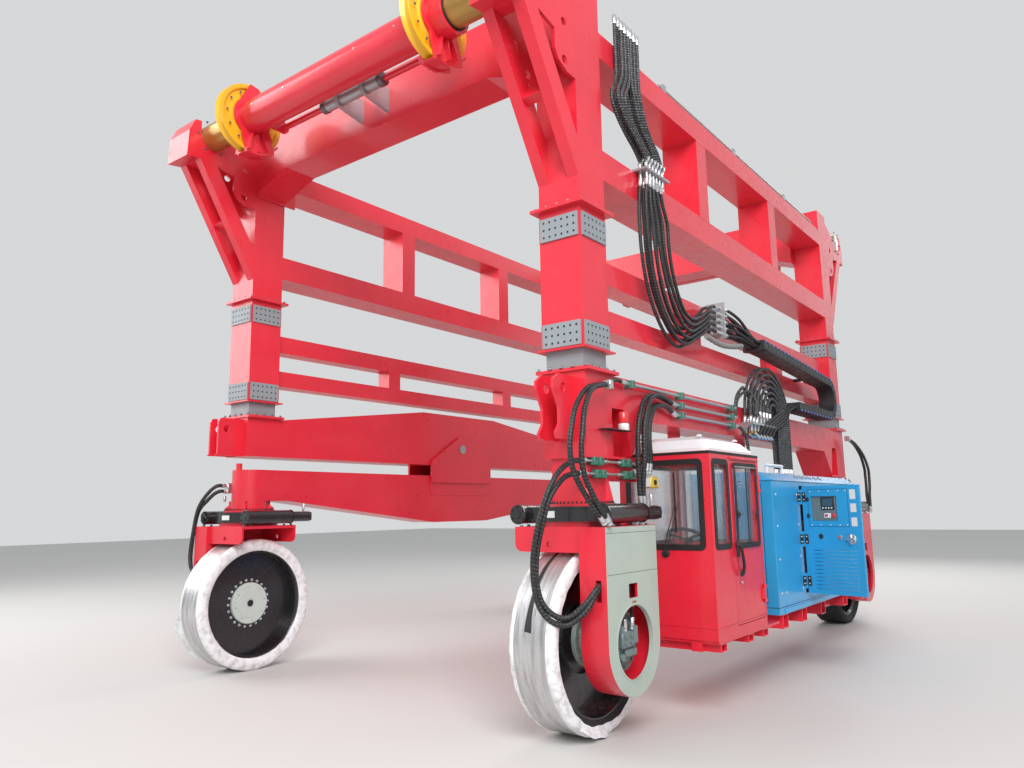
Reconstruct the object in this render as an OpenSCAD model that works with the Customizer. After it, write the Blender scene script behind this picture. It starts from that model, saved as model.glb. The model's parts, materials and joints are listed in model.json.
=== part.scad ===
// Straddle carrier: a gantry on four steered wheels that drives over its load.
// Millimetres. +Z is up, -Y is the front, +X is the cab side.
// The origin is on the ground, at the middle of the four slewing axes.

/* [Stance] */
// Distance between the left and right leg centres
track = 4250; // [3900:10:5000]
// Distance between the front and rear slewing axes
wheelbase = 6500; // [6300:10:7400]
// Height of the seat on the base beams where the inner legs stand
base_top = 2620; // [2600:5:2700]
// Height of the top of the upper legs
leg_top = 5850; // [5800:10:6200]

/* [Wheels] */
// Radius of the solid tyre
tyre_r = 664; // [600:1:668]
// Width of the tyre
tyre_w = 355; // [300:1:365]
// Outer radius of the steel rim
rim_r = 551; // [480:1:570]
// How far the wheel stands inboard of the slewing axis
wheel_inset = 20; // [10:1:30]

/* [Legs] */
// Outer width of the upper legs and of the middle sleeves
leg_w = 380; // [370:1:400]
// Wall of the upper legs and of the middle sleeves
leg_wall = 15; // [10:1:18]
// Outer width of the inner legs
inner_w = 334; // [310:1:336]
// Wall of the inner legs
inner_wall = 16; // [10:1:25]
// Thickness of the leg flanges
flange_t = 25; // [16:1:30]
// How far a flange stands out past the leg
flange_lip = 55; // [40:1:60]
// Height of the lower end of the middle sleeves
mid_z0 = 2790; // [2760:5:2820]
// Height of the lower end of the upper legs
upper_z0 = 3920; // [3900:5:3960]

/* [Trusses] */
// Width of the middle truss across the machine
mid_truss_w = 200; // [150:5:300]
// Bottom of the middle truss's lower chord
mid_low_z = 3010; // [2960:5:3030]
// Depth of the middle truss's lower chord
mid_low_h = 175; // [120:5:200]
// Top of the middle truss's upper chord
mid_high_z = 3590; // [3560:5:3620]
// Depth of the middle truss's upper chord
mid_high_h = 190; // [120:5:220]
// Distance of each middle truss post from the middle
mid_post_y = 1200; // [1000:10:1400]
// How far the bottom of the upper truss's lower chord lies below the leg top
low_chord_drop = 1615; // [1560:5:1650]
// Depth of the upper truss's lower chord
low_chord_h = 255; // [200:5:280]
// How far the top of the upper truss's upper chord lies below the leg top
high_chord_drop = 300; // [250:5:350]
// Depth of the upper truss's upper chord
high_chord_h = 230; // [180:5:260]
// Distance of each truss post from the middle
post_y = 1040; // [900:10:1200]
// Width of a truss post along the machine
post_w = 230; // [180:5:260]

/* [Cross beams] */
// How far the underside of the cross beams lies below the leg top
cross_drop = 550; // [540:5:600]
// Height of the front and rear cross beams
cross_h = 530; // [450:5:545]

/* [Shaft arms] */
// How far the guide shaft stands in front of the leg centre
shaft_out = 735; // [700:5:760]
// How far the guide shaft lies below the leg top
shaft_drop = 260; // [230:5:290]
// Radius of the guide shaft
shaft_r = 140; // [120:1:142]
// Thickness of the arm side plates
arm_t = 28; // [20:1:40]

/* [Carriages] */
// Distance of each sheave from the middle of its carriage
sheave_x = 1300; // [1200:10:1330]
// Radius of a sheave
sheave_r = 355; // [330:5:370]
// Radius of the sleeve between the sheaves
sleeve_r = 165; // [160:1:175]
// Side shift of a carriage each way
shift_range = 400; // [300:10:420]

/* [Base] */
// Underside of the right base beam between its ends
beam_z = 2300; // [2280:5:2340]
// Underside of the right base beam at its ends
head_z = 1970; // [1940:5:2000]
// Underside of the upper left beam
left_beam_z = 2205; // [2200:5:2230]
// Top of the upper left beam at its middle
left_beam_top = 2910; // [2850:5:2950]
// Height of the rocker pin
rocker_pin_z = 2440; // [2400:5:2480]
// Radius of the rocker pin
rocker_pin_r = 60; // [40:1:75]
// Top of the rocker
rocker_top = 2064; // [2050:1:2068]
// Depth of the rocker at its middle
rocker_h = 616; // [560:2:640]
// Depth of the rocker at its ends
rocker_end_h = 333; // [300:1:360]

/* [Steering] */
// Top of the yokes
yoke_top = 1470; // [1460:1:1480]
// Radius of the slewing ring
ring_r = 330; // [300:1:340]
// Outboard face of the yoke arm, measured from the slewing axis
arm_out = 425; // [415:1:440]
// Thickness of the yoke arm
arm_w = 215; // [180:1:220]
// Half length of the yoke along the machine
yoke_y = 330; // [320:1:340]

/* [Cab] */
// How far the inner face of the cab and power pack lies inside the leg centre
pod_inset = 80; // [40:5:95]
// Width of the cab and of the power pack
pod_w = 805; // [700:5:860]
// Front face of the cab
cab_front = -2510; // [-2520:5:-2450]
// Length of the cab
cab_len = 1045; // [1000:5:1080]
// Underside of the cab
cab_z = 585; // [580:5:620]
// Height of the cab
cab_h = 1450; // [1400:5:1480]
// Thickness of the cab panels
cab_t = 40; // [30:1:50]

/* [Power pack] */
// Front face of the power pack
pack_front = -1140; // [-1200:5:-1100]
// Length of the power pack
pack_len = 3000; // [2800:10:3100]
// Underside of the power pack
pack_z = 625; // [610:5:650]
// Height of the power pack
pack_h = 1285; // [1200:5:1300]
// Opening of the power pack door as parked
pack_door_open = 105; // [0:1:110]

/* [Hidden] */
$fn = 48;
// Running clearance between sliding pads and legs, and under seated pieces
seat = 0.3;
// Clearance between steel pieces that move past each other
run = 8;
leg_x = track / 2;
leg_y = wheelbase / 2;
half_leg = leg_w / 2;
leg_in = leg_x - half_leg;
leg_out = leg_x + half_leg;
leg_end = leg_y + half_leg;
low_chord_z = leg_top - low_chord_drop;
high_chord_z = leg_top - high_chord_drop;
cross_z = leg_top - cross_drop;
shaft_z = leg_top - shaft_drop;
pod_in = leg_x - pod_inset;
pod_out = pod_in + pod_w;
red = "crimson";
steel = "silver";
primer = "darkseagreen";
dark = "dimgray";
blue = "deepskyblue";

// Basic shapes

// A box between two corners
module block(a, b) {
    translate(a) cube(b - a);
}

// A side profile, drawn as [y, z], pushed out along X from x
module side_plate(x, t) {
    translate([x, 0, 0]) rotate([90, 0, 90]) linear_extrude(t) children();
}

// A front profile, drawn as [x, z], pushed out along Y from y
module front_plate(y, t) {
    translate([0, y + t, 0]) rotate([90, 0, 0]) linear_extrude(t) children();
}

// A cylinder along X that starts at x
module rod_x(x, y, z, r, len) {
    translate([x, y, z]) rotate([0, 90, 0]) cylinder(r = r, h = len);
}

// A square tube that stands on z
module square_tube(x, y, z, w, wall, h) {
    translate([x, y, z]) linear_extrude(h) difference() {
        square(w, center = true);
        square(w - 2 * wall, center = true);
    }
}

// One side's solid moved to the other side of the machine
module to_side(side) {
    mirror([side < 0 ? 1 : 0, 0, 0]) children();
}

// One end's solid moved to the other end of the machine
module to_end(end) {
    mirror([0, end > 0 ? 1 : 0, 0]) children();
}

// Base beams

column_w = 290;
column_l = 320;
bolt_ring_t = 20;
bolt_ring_r = ring_r - 60;
ring_h = 108;
ring_z = yoke_top + 36;
bolt_ring_z = ring_z + ring_h;
column_foot = bolt_ring_z + bolt_ring_t;

// The stub between a beam and its slewing ring, with a bolted round foot and ribs
module column_stub(z_top) {
    h = z_top - bolt_ring_z;
    rib_reach = bolt_ring_r - 15;
    translate([leg_x, -leg_y, bolt_ring_z]) {
        cylinder(r = bolt_ring_r, h = bolt_ring_t);
        translate([-column_w / 2, -column_l / 2, 0]) cube([column_w, column_l, h]);
        for (a = [45 : 90 : 315]) rotate([0, 0, a]) {
            translate([0, 8, 0]) rotate([90, 0, 0]) linear_extrude(16)
                polygon([[0, 0], [rib_reach, 0], [rib_reach, 45], [190, h - 25], [0, h - 25]]);
        }
    }
}

// The flange that an inner leg stands on
module leg_seat() {
    lip = half_leg + flange_lip - 5;
    block([leg_x - lip, -leg_y - lip + 25, base_top], [leg_x + lip, -leg_y + lip, base_top + flange_t]);
}

seat_top = base_top + flange_t;
head_len = 640;
head_slope = 300;
pocket_y = leg_end - 380;
pocket_l = 290;
pocket_d = 120;

tow_eye_r = 36;
tow_plate_t = 24;
// Inner faces of the twin tow plates, measured from the leg centre
tow_plate_xs = [-87, 63];

// Hooked tow plate of the right beam, with its rope notch
module tow_plate_outline() {
    translate([-leg_end, base_top]) difference() {
        polygon([[20, -40], [-190, -40], [-260, -90], [-265, -150], [-190, -290], [-190, -410],
            [-240, -480], [-225, -520], [20, -520]]);
        translate([-140, -140]) circle(r = tow_eye_r);
    }
}

// Plain tow plate of the left beam, as deep as the beam
module left_tow_outline() {
    translate([-leg_end, 0]) difference() {
        polygon([[20, left_beam_z], [-292, left_beam_z], [-292, left_beam_z + 12],
            [-275, left_beam_z + 12], [-275, base_top - 60], [-262, base_top - 30],
            [-235, base_top - 17], [20, base_top - 17]]);
        translate([-180, base_top - 130]) circle(r = tow_eye_r);
    }
}

module base_beam_right() {
    color(red) {
        difference() {
            side_plate(leg_in, leg_w) polygon([
                [-leg_end, base_top], [-leg_end, head_z], [-leg_end + head_len, head_z],
                [-leg_end + head_len + head_slope, beam_z], [leg_end - head_len - head_slope, beam_z],
                [leg_end - head_len, head_z], [leg_end, head_z], [leg_end, base_top]]);
            // Pockets in the outer web beside each leg
            for (end = [-1, 1]) to_end(end)
                translate([leg_out - pocket_d, 0, 0]) rotate([90, 0, 90]) linear_extrude(pocket_d + 1)
                    polygon([[-pocket_y, head_z + 20], [-pocket_y, head_z + 395],
                        [-pocket_y + pocket_l - 100, head_z + 395], [-pocket_y + pocket_l, head_z + 20]]);
        }
        for (end = [-1, 1]) to_end(end) {
            column_stub(head_z);
            leg_seat();
            for (x = tow_plate_xs) side_plate(leg_x + x, tow_plate_t) tow_plate_outline();
        }
    }
}

inner_top = leg_top - 150;

module inner_legs(side) {
    color(steel) to_side(side) for (end = [-1, 1]) to_end(end)
        square_tube(leg_x, -leg_y, seat_top, inner_w, inner_wall, inner_top - seat_top);
}

module inner_legs_right() inner_legs(1);
module inner_legs_left() inner_legs(-1);

// Left side: upper beam, rocker and pin

flat_half = 750;
cheek_t = 30;

module base_beam_left() {
    color(red) to_side(-1) {
        difference() {
            side_plate(leg_in, leg_w) polygon([
                [-leg_end, left_beam_z], [leg_end, left_beam_z], [leg_end, base_top],
                [leg_end - 2 * half_leg - 60, base_top],
                [flat_half, left_beam_top], [-flat_half, left_beam_top],
                [-leg_end + 2 * half_leg + 60, base_top], [-leg_end, base_top]]);
            rod_x(leg_in - 1, 0, rocker_pin_z, rocker_pin_r + 0.05, leg_w + 2);
        }
        for (end = [-1, 1]) to_end(end) {
            leg_seat();
            for (x = tow_plate_xs) side_plate(leg_x + x, tow_plate_t) left_tow_outline();
        }
    }
}

cheek_in = leg_in - run - cheek_t;
cheek_out = leg_out + run;

module rocker_pin() {
    color(steel) to_side(-1) {
        rod_x(cheek_in - 12, 0, rocker_pin_z, rocker_pin_r, cheek_out + cheek_t + 12 - cheek_in + 12);
    }
}

module cheek_outline() {
    difference() {
        hull() {
            translate([0, rocker_pin_z]) circle(r = 176);
            translate([-560, left_beam_z + 20]) circle(r = 60);
            translate([560, left_beam_z + 20]) circle(r = 60);
            translate([-620, rocker_top - 90]) square([1240, 90]);
        }
        translate([0, rocker_pin_z]) circle(r = rocker_pin_r + 0.05);
    }
}

stop_h = 70;

module rocker_beam() {
    z0 = rocker_top - rocker_end_h;
    z1 = rocker_top - rocker_h;
    color(red) to_side(-1) {
        side_plate(leg_in, leg_w) polygon([
            [-leg_y, rocker_top], [leg_y, rocker_top], [leg_y, z0], [leg_y - 350, z0], [550, z1],
            [-550, z1], [-leg_y + 350, z0], [-leg_y, z0]]);
        for (end = [-1, 1]) to_end(end) {
            column_stub(z0 + 1);
            // Round nose about the slewing axis, down to the bolted foot, and the tilt stop on it
            translate([leg_x, -leg_y, column_foot - 1]) cylinder(r = half_leg,
                h = rocker_top - column_foot + 1);
            translate([leg_x, -leg_end + 45, rocker_top]) cylinder(r = 32, h = stop_h);
        }
        for (x = [cheek_in, cheek_out]) side_plate(x, cheek_t) cheek_outline();
        // Pads that carry the cheeks off the beam's sides
        for (x = [leg_in - run, leg_out])
            side_plate(x, run) translate([-620, rocker_top - 260]) square([1240, 220]);
    }
}

// Slewing drives: fixed ring housing between two worm gears with their motors

worm_r = 70;
worm_reach = ring_r + worm_r - 30;
worm_front = 290;
worm_back = 250;
motor_r = 54;
motor_len = 250;

module slew_drives(side) {
    worm_z = ring_z + ring_h / 2;
    color(dark) to_side(side) for (end = [-1, 1]) to_end(end) difference() {
        translate([leg_x, -leg_y, 0]) union() {
            translate([0, 0, ring_z]) cylinder(r = ring_r, h = ring_h);
            translate([-worm_reach, -worm_back, ring_z]) cube([2 * worm_reach, 2 * worm_back, ring_h]);
            for (x = [-worm_reach, worm_reach]) translate([x, 0, worm_z]) rotate([-90, 0, 0]) {
                translate([0, 0, -worm_front]) cylinder(r = worm_r, h = worm_front + worm_back);
                translate([0, 0, worm_back]) cylinder(r = motor_r, h = motor_len);
            }
        }
        translate([leg_x, -leg_y, ring_z - 1]) cylinder(r = 180, h = ring_h + 2);
    }
}

module slew_drives_right() slew_drives(1);
module slew_drives_left() slew_drives(-1);

// Yokes, wheels

wheel_x = leg_x - wheel_inset;
arm_in = arm_out - arm_w;
arm_r = 367;
window_r = 255;
yoke_deck = 30;
arm_wall = 20;
spindle_r = 140;
hub_motor_l = 85;
skirt_z = 1290;

// Outline of the yoke arm seen from the side, round at the bottom about the hub
module arm_outline(grow) {
    hull() {
        translate([0, tyre_r]) circle(r = arm_r + grow);
        translate([-arm_r - grow, 1200]) square([2 * (arm_r + grow), 1]);
    }
    translate([-arm_r - grow, 1190]) square([2 * (arm_r + grow), yoke_top - 1190 + grow - 0.01]);
}

module yoke(side, end) {
    wall = arm_wall;
    color(red) to_side(side) to_end(end) translate([leg_x, -leg_y, 0]) {
        // Turning ring and deck
        translate([0, 0, yoke_top]) cylinder(r = ring_r - 30, h = ring_z - yoke_top - seat);
        block([-376, -yoke_y, yoke_top - yoke_deck], [arm_out, yoke_y, yoke_top]);
        // Front and rear skirts with a tie hole
        for (y = [-yoke_y, yoke_y - wall]) front_plate(y, wall) difference() {
            hull() {
                translate([-376, yoke_top - 60]) square([arm_out + 376, 60]);
                translate([-316, skirt_z + 60]) circle(r = 60);
                translate([arm_in, skirt_z]) square([arm_w, 60]);
            }
            translate([-70, skirt_z + 55]) circle(r = 22);
        }
        // Hollow arm with a round window over the hub motor
        difference() {
            side_plate(arm_in, arm_w) arm_outline(0);
            side_plate(arm_in + wall, arm_w - 2 * wall) arm_outline(-wall);
            rod_x(arm_out - wall - 1, 0, tyre_r, window_r, wall + 2);
            rod_x(arm_in - 1, 0, tyre_r, spindle_r + 5, wall + 2);
            // Hose slot in the front edge
            block([arm_in + 128, -arm_r - 1, 965], [arm_in + 172, -arm_r + wall + 1, 1110]);
            // Square port
            side_plate(arm_out - wall - 1, wall + 2) translate([-72, 968]) square([128, 100]);
        }
        // Hub motor bolted inside the arm
        rod_x(arm_in + wall, 0, tyre_r, 210, hub_motor_l);
    }
}

module tyre(side, end) {
    color(dark) to_side(side) to_end(end) translate([wheel_x, -leg_y, tyre_r]) rotate([0, 90, 0])
        rotate_extrude($fn = 64) polygon([
            [rim_r, -tyre_w / 2 + 25], [rim_r + 30, -tyre_w / 2], [tyre_r - 35, -tyre_w / 2],
            [tyre_r - 8, -tyre_w / 2 + 14], [tyre_r, -tyre_w / 2 + 45], [tyre_r, tyre_w / 2 - 45],
            [tyre_r - 8, tyre_w / 2 - 14], [tyre_r - 35, tyre_w / 2], [rim_r + 30, tyre_w / 2],
            [rim_r, tyre_w / 2 - 25]]);
}

hub_r = 199;

module rim(side, end) {
    band = 28;
    web_x = -20;
    half = tyre_w / 2 - 25;
    color(dark) to_side(side) to_end(end) translate([wheel_x, -leg_y, tyre_r]) rotate([0, 90, 0]) {
        rotate_extrude($fn = 64) polygon([
            [rim_r - seat, -half], [rim_r - seat, half], [rim_r - 12, half],
            [rim_r - band, half - 30], [rim_r - band, web_x + 34], [hub_r + 60, web_x + 24],
            [hub_r, web_x + 60], [0, web_x + 60], [0, web_x - 34], [hub_r, web_x - 34],
            [hub_r + 12, web_x], [rim_r - band, web_x], [rim_r - band, -half + 30], [rim_r - 12, -half]]);
        // Turning flange of the hub motor
        translate([0, 0, web_x + 60]) cylinder(r = spindle_r,
            h = arm_in + arm_wall + wheel_inset - seat - web_x - 60);
    }
}

module yoke_front_right() yoke(1, -1);
module yoke_front_left() yoke(-1, -1);
module yoke_rear_right() yoke(1, 1);
module yoke_rear_left() yoke(-1, 1);
module tyre_front_right() tyre(1, -1);
module tyre_front_left() tyre(-1, -1);
module tyre_rear_right() tyre(1, 1);
module tyre_rear_left() tyre(-1, 1);
module rim_front_right() rim(1, -1);
module rim_front_left() rim(-1, -1);
module rim_rear_right() rim(1, 1);
module rim_rear_left() rim(-1, 1);

// Middle sleeves, their trusses and the guide pads

pad_h = 190;
pad_t = 14;
wear_t = (leg_w - inner_w) / 2 - leg_wall - seat;

module leg_flange(z) {
    difference() {
        translate([leg_x, -leg_y, z]) linear_extrude(flange_t) square(leg_w + 2 * flange_lip,
            center = true);
        translate([leg_x, -leg_y, z - 1]) linear_extrude(flange_t + 2) square(leg_w - 2 * leg_wall,
            center = true);
    }
}

module mid_sleeves(side) {
    mid_top = upper_z0 - seat;
    foot_lip = 35;
    foot_t = 14;
    color(red) to_side(side) for (end = [-1, 1]) to_end(end) {
        square_tube(leg_x, -leg_y, mid_z0, leg_w, leg_wall, mid_top - mid_z0);
        difference() {
            translate([leg_x, -leg_y, mid_z0]) linear_extrude(foot_t)
                square(leg_w + 2 * foot_lip, center = true);
            translate([leg_x, -leg_y, mid_z0 - 1]) linear_extrude(foot_t + 2)
                square(leg_w - 2 * leg_wall, center = true);
        }
    }
}

module mid_truss(side) {
    half = mid_truss_w / 2;
    y_end = leg_y - half_leg;
    color(red) to_side(side) {
        block([leg_x - half, -y_end, mid_low_z], [leg_x + half, y_end, mid_low_z + mid_low_h]);
        block([leg_x - half, -y_end, mid_high_z - mid_high_h], [leg_x + half, y_end, mid_high_z]);
        for (end = [-1, 1]) to_end(end)
            block([leg_x - half, -mid_post_y - half, mid_low_z + mid_low_h],
                [leg_x + half, -mid_post_y + half, mid_high_z - mid_high_h]);
    }
}

// Four outer plates and four wear blocks round one leg, centred on height z
module pad_set(z) {
    wear_w = inner_w - 60;
    translate([leg_x, -leg_y, z]) for (a = [0 : 90 : 270]) rotate([0, 0, a]) {
        translate([half_leg, -half_leg + 15, -pad_h / 2]) cube([pad_t, leg_w - 30, pad_h]);
        translate([inner_w / 2 + seat, -wear_w / 2, -pad_h / 2]) cube([wear_t, wear_w, pad_h]);
    }
}

module guide_pads(side) {
    color(dark) to_side(side) for (end = [-1, 1]) to_end(end) {
        pad_set(mid_z0 + 120);
        pad_set(upper_z0 - 152);
    }
}

module mid_sleeves_right() mid_sleeves(1);
module mid_sleeves_left() mid_sleeves(-1);
module mid_truss_right() mid_truss(1);
module mid_truss_left() mid_truss(-1);
module guide_pads_right() guide_pads(1);
module guide_pads_left() guide_pads(-1);

// Upper frame

module upper_legs() {
    cap = 20;
    color(red) for (side = [-1, 1], end = [-1, 1]) to_side(side) to_end(end) {
        square_tube(leg_x, -leg_y, upper_z0, leg_w, leg_wall, leg_top - cap - upper_z0);
        translate([leg_x, -leg_y, leg_top - cap]) linear_extrude(cap) square(leg_w, center = true);
        leg_flange(upper_z0);
        // Wear blocks near the lower end and half way up
        translate([leg_x, -leg_y, 0]) for (z = [upper_z0 + 40, upper_z0 + 500], a = [0 : 90 : 270])
            rotate([0, 0, a]) translate([inner_w / 2 + seat, -(inner_w - 60) / 2, z])
                cube([wear_t, inner_w - 60, pad_h]);
    }
}

module side_trusses() {
    y_end = leg_y - half_leg;
    color(red) for (side = [-1, 1]) to_side(side) {
        block([leg_in, -y_end, low_chord_z], [leg_out, y_end, low_chord_z + low_chord_h]);
        block([leg_in, -y_end, high_chord_z - high_chord_h], [leg_out, y_end, high_chord_z]);
        for (end = [-1, 1]) to_end(end)
            block([leg_in, -post_y - post_w / 2, low_chord_z + low_chord_h],
                [leg_out, -post_y + post_w / 2, high_chord_z - high_chord_h]);
    }
}

module cross_beams() {
    plate_t = 20;
    x_end = leg_in - plate_t;
    haunch_x = leg_in - 530;
    haunch_z = cross_z - 170;
    color(red) for (end = [-1, 1]) to_end(end) {
        front_plate(-leg_end, leg_w) polygon([
            [-x_end, cross_z + cross_h], [-x_end, haunch_z], [-haunch_x, cross_z],
            [haunch_x, cross_z], [x_end, haunch_z], [x_end, cross_z + cross_h]]);
        for (side = [-1, 1]) to_side(side)
            block([leg_in - plate_t, -leg_end, haunch_z - 30],
                [leg_in, -leg_end + leg_w + 130, cross_z + cross_h]);
    }
}

// Arms that carry the guide shafts

shaft_y = -leg_y - shaft_out;

// Side plate of an arm: cheek at the leg, rail, shaft saddle and head.
// Drawn from the leg's front face and the height of the shaft.
module arm_side_outline() {
    difference() {
        translate([-leg_end, shaft_z]) difference() {
            polygon([[0, -635], [-120, -630], [-230, -580], [-280, -500], [-280, -335], [-500, -285],
                [-690, -270], [-840, -290], [-825, -5], [-760, 136], [-690, 144], [-690, 0],
                [-400, 0], [0, 170]]);
            for (z = arm_eye_zs) translate([-150, z]) circle(r = arm_eye_r);
        }
        saddle_cut();
    }
}

arm_eye_r = 36;
arm_eye_zs = [-540, -220];
head_plan = [[-560, -280], [-690, -270], [-840, -290], [-825, -5], [-760, 136], [-690, 144],
    [-690, 0], [-560, 0]];

// Seat of the guide shaft, open at the top so that the shaft can be laid in
module saddle_cut() {
    translate([shaft_y, shaft_z]) circle(r = shaft_r + seat);
    translate([shaft_y - shaft_r - seat, shaft_z]) square([2 * (shaft_r + seat), 300]);
}

strut_w = 100;

// The strut runs from the lower chord's height at the leg up under the shaft
module strut_outline() {
    polygon([[-leg_end, low_chord_z - 85], [-leg_end, low_chord_z + 241],
        [-leg_end - 499, shaft_z - 285 - seat], [-leg_end - 691, shaft_z - 270 - seat]]);
}

module arm_plates() {
    color(red) for (end = [-1, 1], side = [-1, 1]) to_end(end) to_side(side)
        for (x = [leg_in, leg_out - arm_t]) side_plate(x, arm_t) arm_side_outline();
}

module arm_heads() {
    color(red) for (end = [-1, 1], side = [-1, 1]) to_end(end) to_side(side)
        side_plate(leg_in + arm_t, leg_w - 2 * arm_t) difference() {
            translate([-leg_end, shaft_z]) polygon(head_plan);
            saddle_cut();
        }
}

module arm_struts() {
    web_h = low_chord_z + 555;
    color(red) for (end = [-1, 1], side = [-1, 1]) to_end(end) to_side(side) {
        for (x = [leg_in, leg_out - strut_w]) side_plate(x, strut_w) strut_outline();
        // Web plate between the two struts
        side_plate(leg_in + strut_w, leg_w - 2 * strut_w) translate([-leg_end, web_h])
            polygon([[-262, -85], [-196, 10], [-240, 85], [-340, -55]]);
    }
}

module guide_shafts() {
    len = 2 * (leg_out - 15);
    color("goldenrod") for (end = [-1, 1]) to_end(end) rod_x(-len / 2, shaft_y, shaft_z, shaft_r, len);
}

// Side shift: barrel clamped to the cross beam, rod fixed to the carriage

cyl_y = -leg_end - 280;
cyl_z = shaft_z - 60;
cyl_r = 55;
cyl_rod_r = 30;
barrel_half = 420;

module shift_cylinders() {
    color(steel) for (end = [-1, 1]) to_end(end) {
        difference() {
            rod_x(-barrel_half, cyl_y, cyl_z, cyl_r, 2 * barrel_half);
            rod_x(-barrel_half - 1, cyl_y, cyl_z, cyl_rod_r + 0.1, 2 * barrel_half + 2);
        }
        for (x = [-200, 160]) difference() {
            side_plate(x, 40) polygon([[-leg_end, cyl_z - 130], [-leg_end, cyl_z + 110],
                [cyl_y - 40, cyl_z + 75], [cyl_y - 80, cyl_z], [cyl_y - 40, cyl_z - 75]]);
            rod_x(x - 1, cyl_y, cyl_z, cyl_r, 42);
        }
    }
}

// Carriages: sleeve on the guide shaft, cheeks round each sheave and the rod

sheave_t = 90;
cheek_gap = 6;
cheek_w = 30;
hub_len = 140;

// Lower fan of a cheek, drawn about the shaft
module fan_outline() {
    translate([shaft_y, shaft_z]) {
        circle(r = neck_r + 20);
        polygon([[-150, -80], [-60, -guard_r - 18], [100, -guard_r - 18], [265, -guard_r + 50], [180,
            -30]]);
    }
}

// Upper fan of the inner cheek
module crest_outline() {
    translate([shaft_y, shaft_z])
        polygon([[-175, -60], [-150, 150], [-45, sheave_r - 8], [55, sheave_r - 25], [190, 80], [150, 0]]);
}

guard_r = sheave_r + 8;

// Curved guard that ties the two cheeks just under the rim
module rope_guard(x, t) {
    side_plate(x, t) intersection() {
        difference() {
            translate([shaft_y, shaft_z]) circle(r = guard_r + 14, $fn = 64);
            translate([shaft_y, shaft_z]) circle(r = guard_r, $fn = 64);
        }
        translate([shaft_y, shaft_z]) polygon([[0, 0], [-80, -450], [330, -450], [300, -190]]);
    }
}

// Ribs that stand on the outer cheek's fan
module fan_ribs(x, t) {
    for (a = [-62, -80, -98]) side_plate(x, t) translate([shaft_y, shaft_z]) rotate(a)
        translate([190, -7]) square([guard_r - 190, 14]);
}

sleeve_in = shaft_r + 0.1;
// Radius of the bearing seat under a sheave
neck_r = sleeve_r + 25;

module carriage(end) {
    s0 = sheave_x - sheave_t / 2 - cheek_gap;
    s1 = sheave_x + sheave_t / 2 + cheek_gap;
    x_out = s1 + cheek_w + hub_len;
    ear_x = s0 - cheek_w - 160;
    color(red) to_end(end) {
        difference() {
            union() {
                rod_x(-s0, shaft_y, shaft_z, sleeve_r, 2 * s0);
                for (side = [-1, 1]) to_side(side) {
                    rod_x(s0 - 1, shaft_y, shaft_z, neck_r, s1 - s0 + 2);
                    side_plate(s0 - cheek_w, cheek_w) {
                        fan_outline();
                        crest_outline();
                    }
                    side_plate(s1, cheek_w) fan_outline();
                    fan_ribs(s1 + cheek_w, 45);
                    fan_ribs(s0 - cheek_w - 45, 45);
                    rope_guard(s0 - cheek_w, s1 - s0 + 2 * cheek_w);
                    rod_x(s1, shaft_y, shaft_z, sleeve_r + 20, cheek_w + hub_len);
                    // Ear for the side shift rod
                    side_plate(ear_x, 30) hull() {
                        translate([shaft_y + 100, shaft_z - 110]) square([60, 200]);
                        translate([cyl_y, cyl_z]) circle(r = 55);
                    }
                }
            }
            rod_x(-x_out - 1, shaft_y, shaft_z, sleeve_in, 2 * x_out + 2);
        }
        rod_x(-ear_x - 20, cyl_y, cyl_z, cyl_rod_r, 2 * (ear_x + 20));
    }
}

module carriage_front() carriage(-1);
module carriage_rear() carriage(1);

module sheave(side, end) {
    h = sheave_t / 2;
    color("gold") to_side(side) to_end(end) translate([sheave_x, shaft_y, shaft_z]) rotate([0, 90, 0])
        rotate_extrude($fn = 64) polygon([
            [neck_r + 0.1, -h], [neck_r + 30, -h], [neck_r + 42, -h + 20], [sheave_r - 57, -h + 20],
            [sheave_r - 45, -h], [sheave_r, -h], [sheave_r - 28, -16], [sheave_r - 28, 16],
            [sheave_r, h], [sheave_r - 45, h], [sheave_r - 57, h - 20], [neck_r + 42, h - 20],
            [neck_r + 30, h], [neck_r + 0.1, h]]);
}

module sheave_front_left() sheave(-1, -1);
module sheave_front_right() sheave(1, -1);
module sheave_rear_left() sheave(-1, 1);
module sheave_rear_right() sheave(1, 1);

// Platform that hangs below the right base beam

plat_z = 500;
plat_top = cab_z - seat;
hang_w = 90;

rail_w = 90;
rail_in = pod_in - 95;
rail_out = pod_out - 230;
rail_y0 = cab_front + 10;
rail_y1 = pack_front + pack_len - 60;
deck_y1 = pack_front - 40;
deck_z = plat_top - 20;
pack_seat_z = pack_z - seat;
tube_t = 10;
// Front faces of the cross tubes under the cab and under the power pack
cab_tube_ys = [rail_y0 + 40, cab_front + 610, cab_front + 950];
cab_tube_w = 110;
pack_tube_ys = [pack_front + 80, pack_front + 620, pack_front + 1220, pack_front + 2040, rail_y1 - 180];
pack_tube_w = 140;
hanger_ys = [cab_front + 180, pack_front - 240, pack_front + 1440, rail_y1 - 200];

// Two long rails, higher under the power pack, the deck under the cab and the hangers to the base beam
module platform_rails() {
    color(red) {
        for (x = [rail_in, rail_out]) {
            block([x, rail_y0, plat_z], [x + rail_w, rail_y1, deck_z]);
            block([x, deck_y1, plat_z], [x + rail_w, rail_y1, pack_seat_z]);
        }
        block([rail_in, rail_y0, deck_z - 1], [pod_out, deck_y1, plat_top]);
        for (y = hanger_ys) block([rail_in, y, deck_z - 10], [rail_in + hang_w, y + hang_w, beam_z]);
    }
}

// Cross tubes between the rails and their stubs outside, open at their outer ends
module platform_tubes() {
    color(red) {
        for (y = cab_tube_ys) cross_tube(y, cab_tube_w, deck_z - 1 - seat);
        for (y = pack_tube_ys) cross_tube(y, pack_tube_w, pack_seat_z);
    }
}

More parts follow.
